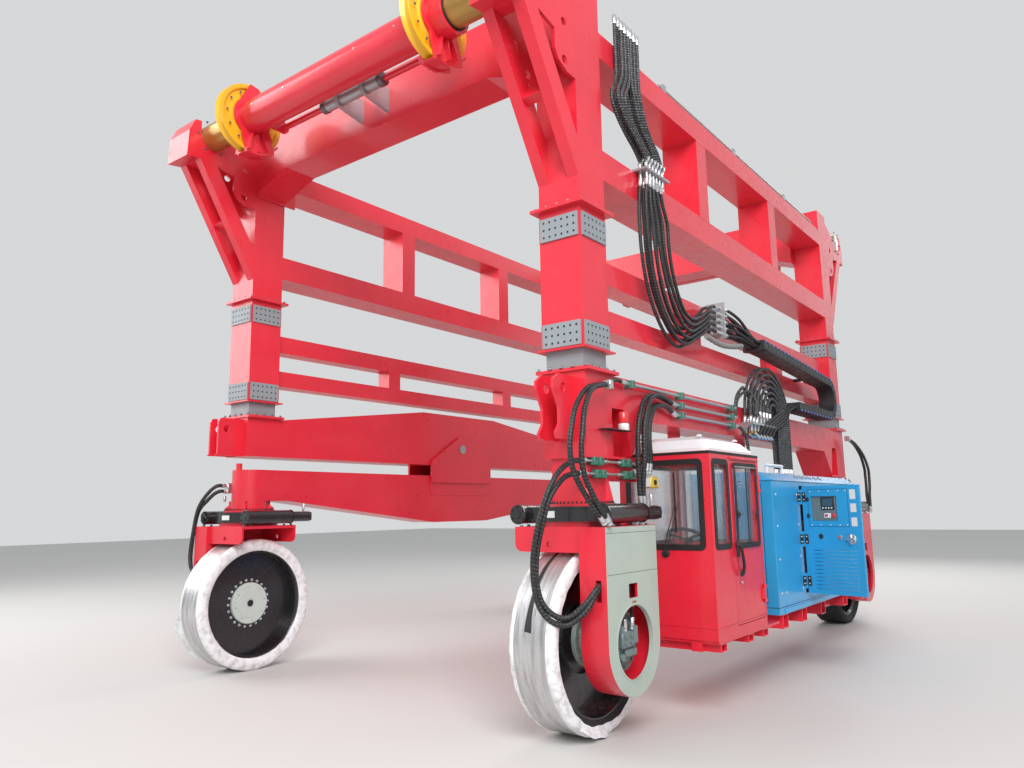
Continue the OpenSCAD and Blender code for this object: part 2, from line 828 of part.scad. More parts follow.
module cross_tube(y, w, top) {
    stub = rail_out + rail_w + seat;
    block([rail_in + rail_w + seat, y, plat_z], [rail_out - seat, y + w, top]);
    difference() {
        block([stub, y, plat_z], [pod_out - 5, y + w, top]);
        block([stub + tube_t, y + tube_t, plat_z + tube_t], [pod_out, y + w - tube_t, top - tube_t]);
    }
}

// Cab

cab_back = cab_front + cab_len;
cab_top = cab_z + cab_h;
door_y0 = cab_front + 400;
door_y1 = cab_back - 35;
door_z0 = cab_z + 70;
door_z1 = cab_top - 60;
sill_z = cab_z + 690;
lintel_z = cab_top - 75;
window_gap = 8;

door_gap = 5.5;
hinge_x = pod_out + 12;
hinge_y = door_y1 - door_gap - 12;
hinge_zs = [door_z0 + 155, door_z1 - 235];
hinge_h = 90;
pin_r = 6;

// The fixed half of one door hinge: a pin between two knuckles
module hinge_half(x, y, z, reach) {
    translate([x, y, z - 30]) cylinder(r = pin_r, h = hinge_h + 60);
    for (k = [z - 25 - seat, z + hinge_h + seat]) {
        translate([x, y, k]) cylinder(r = 9, h = 25);
        hinge_leaf(x, y, k, reach);
    }
}

// The leaf that ties a knuckle to the wall behind it, reaching along Y
module hinge_leaf(x, y, z, reach) {
    y0 = min(0, reach);
    y1 = max(0, reach);
    block([x - 6, y + y0, z], [x + 6, y + y1, z + 25]);
    block([pod_out - 1, y + (reach > 0 ? y1 - 22 : y0), z], [x + 6, y + (reach > 0 ? y1 : y0 + 22),
        z + 25]);
}

module cab_shell() {
    color(red) for (z = hinge_zs) hinge_half(hinge_x, hinge_y, z, 45);
    color(red) difference() {
        block([pod_in, cab_front, cab_z], [pod_out, cab_back, cab_top]);
        block([pod_in + cab_t, cab_front + cab_t, cab_z + cab_t], [pod_out - cab_t, cab_back - cab_t,
            cab_top - cab_t]);
        // Front window, side window, inner window, rear window and door opening
        block([pod_in + 75, cab_front - 1, sill_z], [pod_out - 75, cab_front + cab_t + 1, lintel_z]);
        block([pod_out - cab_t - 1, cab_front + 55, sill_z], [pod_out + 1, door_y0 - 50, lintel_z]);
        block([pod_in - 1, cab_front + 75, sill_z], [pod_in + cab_t + 1, cab_back - 75, lintel_z]);
        block([pod_in + 75, cab_back - cab_t - 1, sill_z], [pod_out - 75, cab_back + 1, lintel_z]);
        block([pod_out - cab_t - 1, door_y0, door_z0], [pod_out + 1, door_y1, door_z1]);
    }
}

module cab_roof_cap() {
    cx = (pod_in + pod_out) / 2;
    cy = (cab_front + cab_back) / 2;
    color("whitesmoke") translate([cx, cy, cab_top + seat]) hull() {
        linear_extrude(25) offset(60) square([pod_out - pod_in - 160, cab_len - 160], center = true);
        translate([0, 0, 90]) linear_extrude(10) offset(80)
            square([pod_out - pod_in - 330, cab_len - 360], center = true);
        translate([0, 0, 125]) linear_extrude(10) offset(60)
            square([pod_out - pod_in - 480, cab_len - 560], center = true);
    }
}

module cab_glass() {
    t = 8;
    g = seat;
    color("lightblue", 0.4) {
        block([pod_in + 75 + g, cab_front + 16, sill_z + g], [pod_out - 75 - g, cab_front + 16 + t,
            lintel_z - g]);
        block([pod_out - 24, cab_front + 55 + g, sill_z + g], [pod_out - 24 + t, door_y0 - 50 - g,
            lintel_z - g]);
        block([pod_in + 16, cab_front + 75 + g, sill_z + g], [pod_in + 16 + t, cab_back - 75 - g,
            lintel_z - g]);
        block([pod_in + 75 + g, cab_back - 24, sill_z + g], [pod_out - 75 - g, cab_back - 24 + t,
            lintel_z - g]);
    }
}

module cab_console() {
    floor_z = cab_z + cab_t + seat;
    cx = (pod_in + pod_out) / 2;
    y0 = cab_front + cab_t + seat;
    color(dark) {
        // Dash cabinet, steering column and wheel
        block([pod_in + 90, y0, floor_z], [pod_out - 90, y0 + 170, floor_z + 560]);
        translate([cx, y0 + 165, floor_z + 430]) rotate([-35, 0, 0]) {
            cylinder(r = 24, h = 330);
            translate([0, 0, 330]) rotate_extrude() translate([165, 0]) circle(r = 14, $fn = 16);
            for (a = [90 : 120 : 330]) rotate([0, 0, a]) translate([0, -10, 324]) cube([165, 20, 12]);
        }
        // Side console with its lever stalk
        block([pod_in + cab_t + seat, y0 + 330, floor_z], [pod_in + 210, y0 + 800, floor_z + 520]);
        translate([pod_in + 130, y0 + 420, floor_z + 500]) cylinder(r = 12, h = 150);
        translate([pod_in + 130, y0 + 420, floor_z + 660]) sphere(r = 24);
    }
}

module cab_door() {
    x0 = pod_out - cab_t + 4;
    y0 = door_y0 + door_gap;
    y1 = door_y1 - door_gap;
    z0 = door_z0 + door_gap;
    z1 = door_z1 - door_gap;
    color(red) {
        difference() {
            block([x0, y0, z0], [pod_out, y1, z1]);
            block([x0 - 1, y0 + 60, sill_z], [pod_out + 1, y1 - 60, lintel_z - 25]);
        }
        // Hinge barrels at the rear edge and the pull handle at the front edge
        for (z = hinge_zs) difference() {
            union() {
                translate([hinge_x, hinge_y, z]) cylinder(r = 11, h = hinge_h);
                block([pod_out - 1, hinge_y - 40, z], [hinge_x, hinge_y, z + hinge_h]);
            }
            translate([hinge_x, hinge_y, z - 1]) cylinder(r = pin_r + 0.05, h = hinge_h + 2);
        }
        translate([pod_out + 30, y0 + 130, z0 + 420]) cylinder(r = 9, h = 170);
        for (z = [z0 + 425, z0 + 570]) rod_x(pod_out - 1, y0 + 130, z, 7, 31);
    }
}

module cab_door_glass() {
    y0 = door_y0 + door_gap + 60;
    y1 = door_y1 - door_gap - 60;
    color("lightblue", 0.4)
        block([pod_out - 22, y0 + seat, sill_z + seat], [pod_out - 16, y1 - seat, lintel_z - 25 - seat]);
}

// Power pack

pack_back = pack_front + pack_len;
pack_top = pack_z + pack_h;
pack_t = 30;
pack_door_y0 = pack_front + 780;
pack_door_w = 620;
pack_door_z0 = pack_z + 125;
pack_door_z1 = pack_top - 125;

module pack_outline() {
    hull() {
        translate([pod_in + 40, pack_front + 40]) circle(r = 40, $fn = 32);
        translate([pod_out - 130, pack_front + 130]) circle(r = 130, $fn = 48);
        translate([pod_in, pack_back - 10]) square([pod_out - pod_in, 10]);
    }
}

pack_hinge = [pod_out + 13, pack_door_y0 + 2];
pack_hinge_zs = [pack_door_z0 + 75, (pack_door_z0 + pack_door_z1 - hinge_h) / 2, pack_door_z1 - 155];

module power_pack_housing() {
    color(blue) for (z = pack_hinge_zs) hinge_half(pack_hinge[0], pack_hinge[1], z, -34);
    color(blue) difference() {
        union() {
            translate([0, 0, pack_z]) linear_extrude(pack_h - 80) pack_outline();
            // Sloped lid
            intersection() {
                translate([0, 0, pack_top - 81]) linear_extrude(82) pack_outline();
                front_plate(pack_front - 1, pack_len + 2) polygon([[pod_in, pack_top - 81],
                    [pod_out, pack_top - 81], [pod_out - 150, pack_top], [pod_in, pack_top]]);
            }
        }
        block([pod_in + pack_t, pack_front + pack_t + 60, pack_z + pack_t],
            [pod_out - pack_t, pack_back - pack_t, pack_top - 110]);
        // Doorway
        block([pod_out - pack_t - 1, pack_door_y0, pack_door_z0],
            [pod_out + 1, pack_door_y0 + pack_door_w, pack_door_z1]);
    }
    // Grab handle on the lid
    color("white") for (y = [pack_door_y0 - 150, pack_door_y0 + 290])
        translate([pod_out - 260, y, pack_top - 1]) cylinder(r = 16, h = 90);
    color("white") translate([pod_out - 260, pack_door_y0 - 166, pack_top + 88]) rotate([-90, 0, 0])
        cylinder(r = 16, h = 472);
}

module power_pack_engine() {
    color(dark) block([pod_in + 120, pack_front + 1050, pack_z + pack_t + seat],
        [pod_out - 200, pack_back - 500, pack_z + 800]);
}

// The door stands open, turned outward about its front edge
module power_pack_door() {
    w = pack_door_w - 14;
    color(blue) translate([pack_hinge[0], pack_hinge[1], 0]) rotate([0, 0, -pack_door_open]) {
        difference() {
            block([-19, 15, pack_door_z0 + 6], [9, w, pack_door_z1 - 6]);
            // Panel recess and louvres
            block([-6, 105, pack_door_z1 - 342], [pack_t, 375, pack_door_z1 - 106]);
            for (i = [0 : 10])
                block([-pack_t, 110, pack_door_z0 + 50 + 36 * i],
                    [pack_t, 540, pack_door_z0 + 62 + 36 * i]);
        }
        for (z = pack_hinge_zs) difference() {
            union() {
                translate([0, 0, z]) cylinder(r = 9, h = hinge_h);
                block([-8, 0, z], [8, 17, z + hinge_h]);
            }
            translate([0, 0, z - 1]) cylinder(r = pin_r + 0.05, h = hinge_h + 2);
        }
    }
}

// Steel pipes, clamps and hose plates

pipe_r = 15;
pipe_x = leg_out + 45;
base_pipe_zs = [base_top - 50, base_top - 138, base_top - 226];

// A clamp block round a pipe that lies along Y
module pipe_clamp(x, y, z) {
    difference() {
        block([x - 45, y, z - 30], [x + 35, y + 50, z + 30]);
        translate([x, y - 1, z]) rotate([-90, 0, 0]) cylinder(r = pipe_r, h = 52);
    }
}

module pipe_run() {
    y1 = -709;
    color(steel) {
        for (i = [0 : 2]) {
            y0 = i == 0 ? -2915 : -2050;
            translate([pipe_x, y0, base_pipe_zs[i]]) rotate([-90, 0, 0]) cylinder(r = pipe_r, h = y1 - y0);
        }
    }
    color("seagreen") {
        for (i = [0 : 2], y = i == 0 ? [-2860, -1960, -800] : [-1960, -800])
            pipe_clamp(pipe_x, y, base_pipe_zs[i]);
    }
}

// A plate with two rows of screwed hose ends, along Y
module hose_plate(y0, pitch, count, x, z) {
    for (i = [0 : count - 1], k = [0, 1])
        translate([x + k * 62, y0 + i * pitch, z - 75]) cylinder(r = 17, h = 150, $fn = 24);
}

fountain_y0 = -400;
fountain_pitch = 96;
fountain_count = 7;
fountain_x = leg_out + 45;
fountain_z = base_top - 180;

module hose_bulkheads() {
    y1 = fountain_y0 + (fountain_count - 1) * fountain_pitch;
    color(dark) {
        block([leg_out, fountain_y0 - 60, fountain_z - 10], [leg_out + 150, y1 + 60, fountain_z + 10]);
        for (y = [fountain_y0 - 60, fountain_y0 + 2.5 * fountain_pitch - 10, y1 + 40]) front_plate(y, 20)
            polygon([[leg_out, fountain_z], [leg_out + 140, fountain_z], [leg_out, fountain_z - 120]]);
        hose_plate(fountain_y0, fountain_pitch, fountain_count, fountain_x, fountain_z);
    }
}

hose_r = 16;

// A hose in the plane x, swept square to its route of [y, z] points
module plane_hose(x, route) {
    n = 8;
    last = len(route) - 1;
    points = [for (i = [0 : last])
        let (d = route[min(i + 1, last)] - route[max(i - 1, 0)], u = d / norm(d))
        for (a = [0 : n - 1]) let (s = hose_r * sin(a * 360 / n))
            [x + hose_r * cos(a * 360 / n), route[i][0] + s * u[1], route[i][1] - s * u[0]]];
    sides = [for (i = [0 : last - 1], a = [0 : n - 1])
        [i * n + a, (i + 1) * n + a, (i + 1) * n + (a + 1) % n, i * n + (a + 1) % n]];
    polyhedron(points, concat(sides, [[for (a = [0 : n - 1]) a],
        [for (a = [n - 1 : -1 : 0]) last * n + a]]));
}

arc_top = 3090;
arc_end_y = 780;

// Hoses that rise from the fittings on the beam, arch over and drop to the power pack
module pack_hoses() {
    z0 = fountain_z + 75 + seat;
    color("black") for (i = [0 : fountain_count - 1], k = [0, 1]) {
        y0 = fountain_y0 + i * fountain_pitch;
        y1 = arc_end_y - i * 60;
        half = (y1 - y0) / 2;
        top = arc_top - i * 65;
        foot = max(z0 + 10, top - half);
        plane_hose(fountain_x + k * 62, concat([[y0, z0]],
            [for (a = [0 : 22.5 : 180]) [(y0 + y1) / 2 - half * cos(a), foot + (top - foot) * sin(a)]],
            [[y1, pack_top + seat]]));
    }
}

chain_w = 200;
chain_t = 100;
chain_r = 270;
chain_y0 = -180;
chain_y1 = 2190;
chain_low_y0 = 900;
chain_front_z = 3350;
chain_zc = 2955;
chain_x = leg_out + 20;

// Drag chain: a falling upper run, a half turn and a lower run, cut into links
module drag_chain() {
    link = 120;
    top = chain_zc + chain_r;
    fall = (chain_front_z - top) / (chain_y1 - chain_y0);
    bracket_w = 80;
    color("black") difference() {
        side_plate(chain_x, chain_w) {
            difference() {
                translate([chain_y1, chain_zc]) circle(r = chain_r, $fn = 64);
                translate([chain_y1, chain_zc]) circle(r = chain_r - chain_t, $fn = 64);
                translate([chain_y1 - chain_r - 1, chain_zc - chain_r - 1])
                    square([chain_r + 1, 2 * chain_r + 2]);
            }
            polygon([[chain_y0, chain_front_z - chain_t], [chain_y0, chain_front_z],
                [chain_y1 + 1, top], [chain_y1 + 1, top - chain_t]]);
            translate([chain_low_y0, chain_zc - chain_r]) square([chain_y1 + 1 - chain_low_y0, chain_t]);
        }
        for (y = [chain_y0 + link : link : chain_y1 - 10])
            block([chain_x - 1, y - 6, chain_front_z - fall * (y - chain_y0) - 12],
                [chain_x + chain_w + 1, y + 6, chain_front_z + 1]);
        for (y = [chain_low_y0 + link : link : chain_y1 - 10])
            block([chain_x - 1, y - 6, chain_zc - chain_r - 1], [chain_x + chain_w + 1, y + 6,
                chain_zc - chain_r + 12]);
    }
    // Brackets that carry the upper run off the truss
    color(red) {
        block([leg_x + mid_truss_w / 2, chain_y0 + 200, chain_front_z - 70],
            [chain_x, chain_y0 + 200 + bracket_w, mid_high_z - mid_high_h + 30]);
        block([leg_x + mid_truss_w / 2, chain_y1 - 500, mid_low_z + mid_low_h - 30],
            [chain_x, chain_y1 - 500 + bracket_w, mid_low_z + mid_low_h]);
    }
}

module hose_plate_mid() {
    x0 = leg_x + mid_truss_w / 2;
    color(dark) {
        block([x0, -930, 3260], [x0 + 190, -910, 3630]);
        for (z = [3310 : 65 : 3600], x = [x0 + 75, x0 + 145])
            translate([x, -990, z]) rotate([-90, 0, 0]) cylinder(r = 15, h = 140, $fn = 24);
    }
}

upper_plate_y = -2480;

module hose_plate_upper() {
    z = low_chord_z + low_chord_h + 10;
    color(dark) {
        block([leg_out - 60, upper_plate_y - 60, z - 10], [leg_out + 130, upper_plate_y + 380, z + 10]);
        for (i = [0 : 5], k = [0, 1]) translate([leg_out + 35 + 60 * k, upper_plate_y + 60 * i, z - 70])
            cylinder(r = 15, h = 140, $fn = 24);
    }
}

// Routes of the hoses beside the leg, as [offset along Y, height]: front half and rear half
front_route = [[0, 4570], [0, 4596], [-90, 4675], [-230, 4760], [-360, 4860], [-440, 4960], [-450, 5060],
    [-390, 5170], [-360, 5280]];
rear_route = [[0, 4570], [0, 4600], [-70, 4720], [-190, 4820], [-280, 4930], [-330, 5050], [-370, 5170],
    [-380, 5290]];

// Hoses beside the leg, from the upper plate to the pipes on the top chord
module leg_hoses() {
    color("black") for (i = [0 : 5], k = [0, 1]) {
        route = i < 3 ? front_route : rear_route;
        top = [route[len(route) - 1][0], leg_top - 60 - 90 * k];
        plane_hose(leg_out + 35 + 60 * k, [for (p = concat(route,
            [top])) [upper_plate_y + 60 * i + p[0], p[1]]]);
    }
}

module upper_pipes() {
    color(steel) for (k = [0 : 3])
        translate([leg_out - 30 - 48 * k, -1900, high_chord_z + 45]) rotate([-90, 0, 0])
            cylinder(r = pipe_r, h = 4700);
    color(dark) for (y = [-1850, -100, 1600], k = [0 : 3]) difference() {
        block([leg_out - 54 - 48 * k, y, high_chord_z], [leg_out - 6 - 48 * k, y + 60, high_chord_z + 80]);
        translate([leg_out - 30 - 48 * k, y - 1, high_chord_z + 45]) rotate([-90, 0, 0])
            cylinder(r = pipe_r, h = 62);
    }
}

base_beam_right();
inner_legs_right();
slew_drives_right();
platform_rails();
platform_tubes();
cab_shell();
cab_roof_cap();
cab_glass();
cab_console();
cab_door();
cab_door_glass();
power_pack_housing();
power_pack_engine();
power_pack_door();
pipe_run();
hose_bulkheads();
pack_hoses();
base_beam_left();
inner_legs_left();
rocker_pin();
rocker_beam();
slew_drives_left();
mid_sleeves_right();
mid_truss_right();
guide_pads_right();
hose_plate_mid();
drag_chain();
mid_sleeves_left();
mid_truss_left();
guide_pads_left();
upper_legs();
side_trusses();
cross_beams();
arm_plates();
arm_heads();
arm_struts();
guide_shafts();
shift_cylinders();
upper_pipes();
hose_plate_upper();
leg_hoses();
carriage_front();
carriage_rear();
sheave_front_left();
sheave_front_right();
sheave_rear_left();
sheave_rear_right();
yoke_front_right();
yoke_front_left();
yoke_rear_right();
yoke_rear_left();
tyre_front_right();
tyre_front_left();
tyre_rear_right();
tyre_rear_left();
rim_front_right();
rim_front_left();
rim_rear_right();
rim_rear_left();
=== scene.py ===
"""Looks for the straddle carrier: paint, film, hoses, bolts, chains and small fittings on the CAD frame.

Metres, +Z up, -Y front, +X cab side, as in the CAD model. Corner pieces are drawn at the right front
and placed at the other corners by a mirror matrix.
"""

import json
import random
from math import atan2, ceil, cos, pi, radians, sin

import bmesh
import bpy
from mathutils import Matrix, Vector
from mathutils.geometry import tessellate_polygon


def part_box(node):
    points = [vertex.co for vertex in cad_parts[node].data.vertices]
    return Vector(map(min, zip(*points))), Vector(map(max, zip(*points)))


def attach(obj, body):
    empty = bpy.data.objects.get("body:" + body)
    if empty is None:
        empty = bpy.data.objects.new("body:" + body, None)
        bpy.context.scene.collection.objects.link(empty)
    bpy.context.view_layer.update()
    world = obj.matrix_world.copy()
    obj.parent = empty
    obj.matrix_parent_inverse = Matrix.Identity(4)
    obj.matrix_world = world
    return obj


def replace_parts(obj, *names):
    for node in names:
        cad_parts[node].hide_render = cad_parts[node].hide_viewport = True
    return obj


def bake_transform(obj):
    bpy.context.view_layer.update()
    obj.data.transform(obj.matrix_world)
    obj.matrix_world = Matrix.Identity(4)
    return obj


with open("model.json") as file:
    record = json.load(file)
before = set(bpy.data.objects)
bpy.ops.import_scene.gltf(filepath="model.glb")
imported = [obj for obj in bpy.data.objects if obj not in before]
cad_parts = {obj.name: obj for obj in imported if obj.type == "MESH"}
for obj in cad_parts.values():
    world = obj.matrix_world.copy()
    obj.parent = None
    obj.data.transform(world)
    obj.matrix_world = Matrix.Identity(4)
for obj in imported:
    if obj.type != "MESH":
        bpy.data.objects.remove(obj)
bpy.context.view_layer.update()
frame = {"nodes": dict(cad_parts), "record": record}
nodes = frame["nodes"]

# Driving sizes, as in the CAD source
LEG_X, LEG_Y = 2.125, 3.25
HALF_LEG = 0.19
TYRE_R, TYRE_HALF = 0.664, 0.1775
WHEEL_X = LEG_X - 0.02
ARM_OUT, WEB_HALF = 0.425, 0.3655
BOLT_RING_Z = 1.634
SHAFT_Y, SHAFT_Z = -LEG_Y - 0.735, 5.59
HOSE_R, GUARDED_R = 0.016, 0.0195
CAB_X0, CAB_X1, CAB_Y0, CAB_Y1, CAB_Z0 = 2.045, 2.85, -2.51, -1.465, 0.585
CAB_WINDOW = (1.275, 1.96)
PACK_X1, PACK_Y0, PACK_Y1, PACK_Z0, PACK_Z1 = 2.85, -1.14, 1.86, 0.625, 1.91
# Hose fittings: the pipes on the beam, the bulkhead and the upper and middle plates
PIPE_X = 2.36
BULKHEAD_X, BULKHEAD_Y, BULKHEAD_PITCH = (2.36, 2.422), -0.4, 0.096
PLATE_X, PLATE_Y, PLATE_PITCH = (2.35, 2.41), -2.48, 0.06
MID_PLATE_X, MID_PLATE_Z, MID_PLATE_PITCH = (2.3, 2.37), 3.31, 0.065
SIDES = {"right": 1, "left": -1}
ENDS = {"front": -1, "rear": 1}
X, Y, Z = Matrix.Identity(3)


def corner(side, end):
    """Matrix that carries a right front shape to the named corner."""
    return Matrix.Diagonal((SIDES[side], -ENDS[end], 1.0, 1.0))


def spot(side, end, x, z):
    """Matrix for a shape drawn round the right front leg's axis, x out from the middle and z up."""
    return corner(side, end) @ Matrix.Translation((x, -LEG_Y, z))


# Camera at the photograph's viewing angle

PHOTO_WIDTH = 1024
FOCAL_PIXELS = 779.46
CAMERA_PLACE = Vector((5.3548, -8.2966, 1.6))
CAMERA_YAW, CAMERA_PITCH, CAMERA_ROLL = (radians(a) for a in (37.4505, 9.1335, -0.9073))
SENSOR_MM = 36.0


def make_camera():
    forward = Vector((-sin(CAMERA_YAW) * cos(CAMERA_PITCH), cos(CAMERA_YAW) * cos(CAMERA_PITCH),
                      sin(CAMERA_PITCH)))
    level_right = Vector((cos(CAMERA_YAW), sin(CAMERA_YAW), 0.0))
    level_up = level_right.cross(forward)
    right = level_right * cos(CAMERA_ROLL) + level_up * sin(CAMERA_ROLL)
    up = level_up * cos(CAMERA_ROLL) - level_right * sin(CAMERA_ROLL)
    data = bpy.data.cameras.new("camera")
    data.sensor_width = SENSOR_MM
    data.lens = FOCAL_PIXELS / PHOTO_WIDTH * SENSOR_MM
    data.clip_start, data.clip_end = 0.1, 200.0
    camera = bpy.data.objects.new("camera", data)
    turn = Matrix((right, up, -forward)).transposed().to_4x4()
    camera.matrix_world = Matrix.Translation(CAMERA_PLACE) @ turn
    bpy.context.collection.objects.link(camera)
    bpy.context.scene.camera = camera


make_camera()


# Materials

def shader(name, color, roughness, metallic=0.0):
    """A new Principled material; returns it with its node tree and shader."""
    mat = bpy.data.materials.new(name)
    mat.use_nodes = True
    tree = mat.node_tree
    bsdf = tree.nodes["Principled BSDF"]
    bsdf.inputs["Base Color"].default_value = (*color, 1.0)
    bsdf.inputs["Roughness"].default_value = roughness
    bsdf.inputs["Metallic"].default_value = metallic
    return mat, tree, bsdf


def noise(tree, scale, detail=6.0, roughness=0.6, stretch=(1.0, 1.0, 1.0), space="Object"):
    """A noise texture in object space or on the mesh's own map, stretched along the axes."""
    place = tree.nodes.new("ShaderNodeTexCoord")
    mapping = tree.nodes.new("ShaderNodeMapping")
    mapping.inputs["Scale"].default_value = stretch
    tree.links.new(place.outputs[space], mapping.inputs["Vector"])
    tex = tree.nodes.new("ShaderNodeTexNoise")
    tex.inputs["Scale"].default_value = scale
    tex.inputs["Detail"].default_value = detail
    tex.inputs["Roughness"].default_value = roughness
    tree.links.new(mapping.outputs["Vector"], tex.inputs["Vector"])
    return tex.outputs["Fac"]


def ramp(tree, source, stops):
    """A colour ramp on a value: stops are (place, colour)."""
    node = tree.nodes.new("ShaderNodeValToRGB")
    while len(node.color_ramp.elements) < len(stops):
        node.color_ramp.elements.new(0.5)
    for element, (place, color) in zip(node.color_ramp.elements, stops):
        element.position = place
        element.color = (*color, 1.0) if len(color) == 3 else color
    tree.links.new(source, node.inputs["Fac"])
    return node.outputs["Color"]


def blend_colors(tree, factor, first, second):
    """first where factor is 0, second where it is 1; each is a colour or a socket."""
    node = tree.nodes.new("ShaderNodeMix")
    node.data_type = "RGBA"
    tree.links.new(factor, node.inputs["Factor"])
    for name, value in (("A", first), ("B", second)):
        if isinstance(value, tuple):
            node.inputs[name].default_value = (*value, 1.0)
        else:
            tree.links.new(value, node.inputs[name])
    return node.outputs["Result"]


def maths(tree, operation, first, second):
    """A Math node; each input is a number or a socket."""
    node = tree.nodes.new("ShaderNodeMath")
    node.operation = operation
    for i, value in enumerate((first, second)):
        if isinstance(value, (int, float)):
            node.inputs[i].default_value = value
        else:
            tree.links.new(value, node.inputs[i])
    return node.outputs["Value"]


def bump(tree, bsdf, source, strength, distance):
    node = tree.nodes.new("ShaderNodeBump")
    node.inputs["Strength"].default_value = strength
    node.inputs["Distance"].default_value = distance
    tree.links.new(source, node.inputs["Height"])
    tree.links.new(node.outputs["Normal"], bsdf.inputs["Normal"])


def shade(color, factor):
    return tuple(min(1.0, c * factor) for c in color)


def grey(value):
    return (value,) * 3


def paint(name, color, roughness, coat=0.35, metallic=0.0, grime=0.0, spread=0.1):
    """Sprayed paint: slow tone changes, faint orange peel, dust in the gloss and grime in patches."""
    mat, tree, bsdf = shader(name, color, roughness, metallic)
    slow = noise(tree, 1.7, detail=8.0)
    tone = ramp(tree, slow, [(0.25, shade(color, 1 - spread)), (0.55, color),
                             (0.8, shade(color, 1 + spread))])
    if grime:
        patches = noise(tree, 3.5, detail=12.0, roughness=0.75)
        patches = ramp(tree, patches, [(0.55, grey(0.0)), (0.78, grey(grime))])
        tone = blend_colors(tree, patches, tone, (0.1, 0.085, 0.07))
    tree.links.new(tone, bsdf.inputs["Base Color"])
    dust = noise(tree, 9.0, detail=10.0, roughness=0.7)
    gloss = ramp(tree, dust, [(0.3, grey(max(0.05, roughness - 0.08))), (0.75, grey(roughness + 0.16))])
    tree.links.new(gloss, bsdf.inputs["Roughness"])
    bump(tree, bsdf, noise(tree, 120.0, detail=2.0), 0.05, 0.002)
    bsdf.inputs["Coat Weight"].default_value = coat
    bsdf.inputs["Coat Roughness"].default_value = 0.12
    return mat


def hose_cover(name, color, ridge_highlight, turns_per_metre, width):
    """Rubber hose with a raised spiral guard, on the tube's own map: u round it, v along it in metres. The
    ridges carry a pale painted highlight, with some dust, broken into dashes.
    """
    mat, tree, bsdf = shader(name, color, 0.5)
    place = tree.nodes.new("ShaderNodeTexCoord")
    split = tree.nodes.new("ShaderNodeSeparateXYZ")
    tree.links.new(place.outputs["UV"], split.inputs["Vector"])
    turn = maths(tree, "ADD", split.outputs["X"], maths(tree, "MULTIPLY", split.outputs["Y"],
                                                        turns_per_metre))
    stops = [(0.0, grey(1.0)), (width, grey(1.0)), (width + 0.08, grey(0.0)), (0.94, grey(0.0))]
    ridge = ramp(tree, maths(tree, "FRACT", turn, 0.0), stops)
    # noise breaks the ridges' painted highlight into dashes
    highlight_dashes = ramp(tree, noise(tree, 60.0, detail=3.0), [(0.42, grey(0.15)), (0.6, grey(1.0))])
    strength = maths(tree, "MULTIPLY", ridge, highlight_dashes)
    tree.links.new(blend_colors(tree, strength, color, ridge_highlight), bsdf.inputs["Base Color"])
    bump(tree, bsdf, ridge, 0.5, 0.003)
    return mat


def film(name, low, high, metallic, roughness, stretch, scale, space="Object"):
    """Stretch film or foil: streaks along the winding, creases in the gloss."""
    mat, tree, bsdf = shader(name, high, roughness, metallic)
    streaks = noise(tree, scale, detail=9.0, roughness=0.68, stretch=stretch, space=space)
    tree.links.new(ramp(tree, streaks, [(0.34, low), (0.52, high), (0.68, shade(high, 1.12))]),
                   bsdf.inputs["Base Color"])
    creases = noise(tree, scale * 2.3, detail=6.0, stretch=stretch, space=space)
    tree.links.new(ramp(tree, creases, [(0.3, grey(roughness - 0.12)), (0.7, grey(roughness + 0.2))]),
                   bsdf.inputs["Roughness"])
    bump(tree, bsdf, creases, 0.22, 0.005)
    return mat


def glass():
    """Pale tinted pane, see-through with a clear sheen."""
    mat, tree, bsdf = shader("clear_glass", (0.8, 0.87, 0.88), 0.04)
    smear = ramp(tree, noise(tree, 4.0, detail=8.0), [(0.3, grey(0.03)), (0.7, grey(0.16))])
    tree.links.new(smear, bsdf.inputs["Roughness"])
    for name, value in (("Transmission Weight", 0.9), ("IOR", 1.12), ("Alpha", 0.42)):
        bsdf.inputs[name].default_value = value
    return mat


RED = (0.74, 0.02, 0.042)
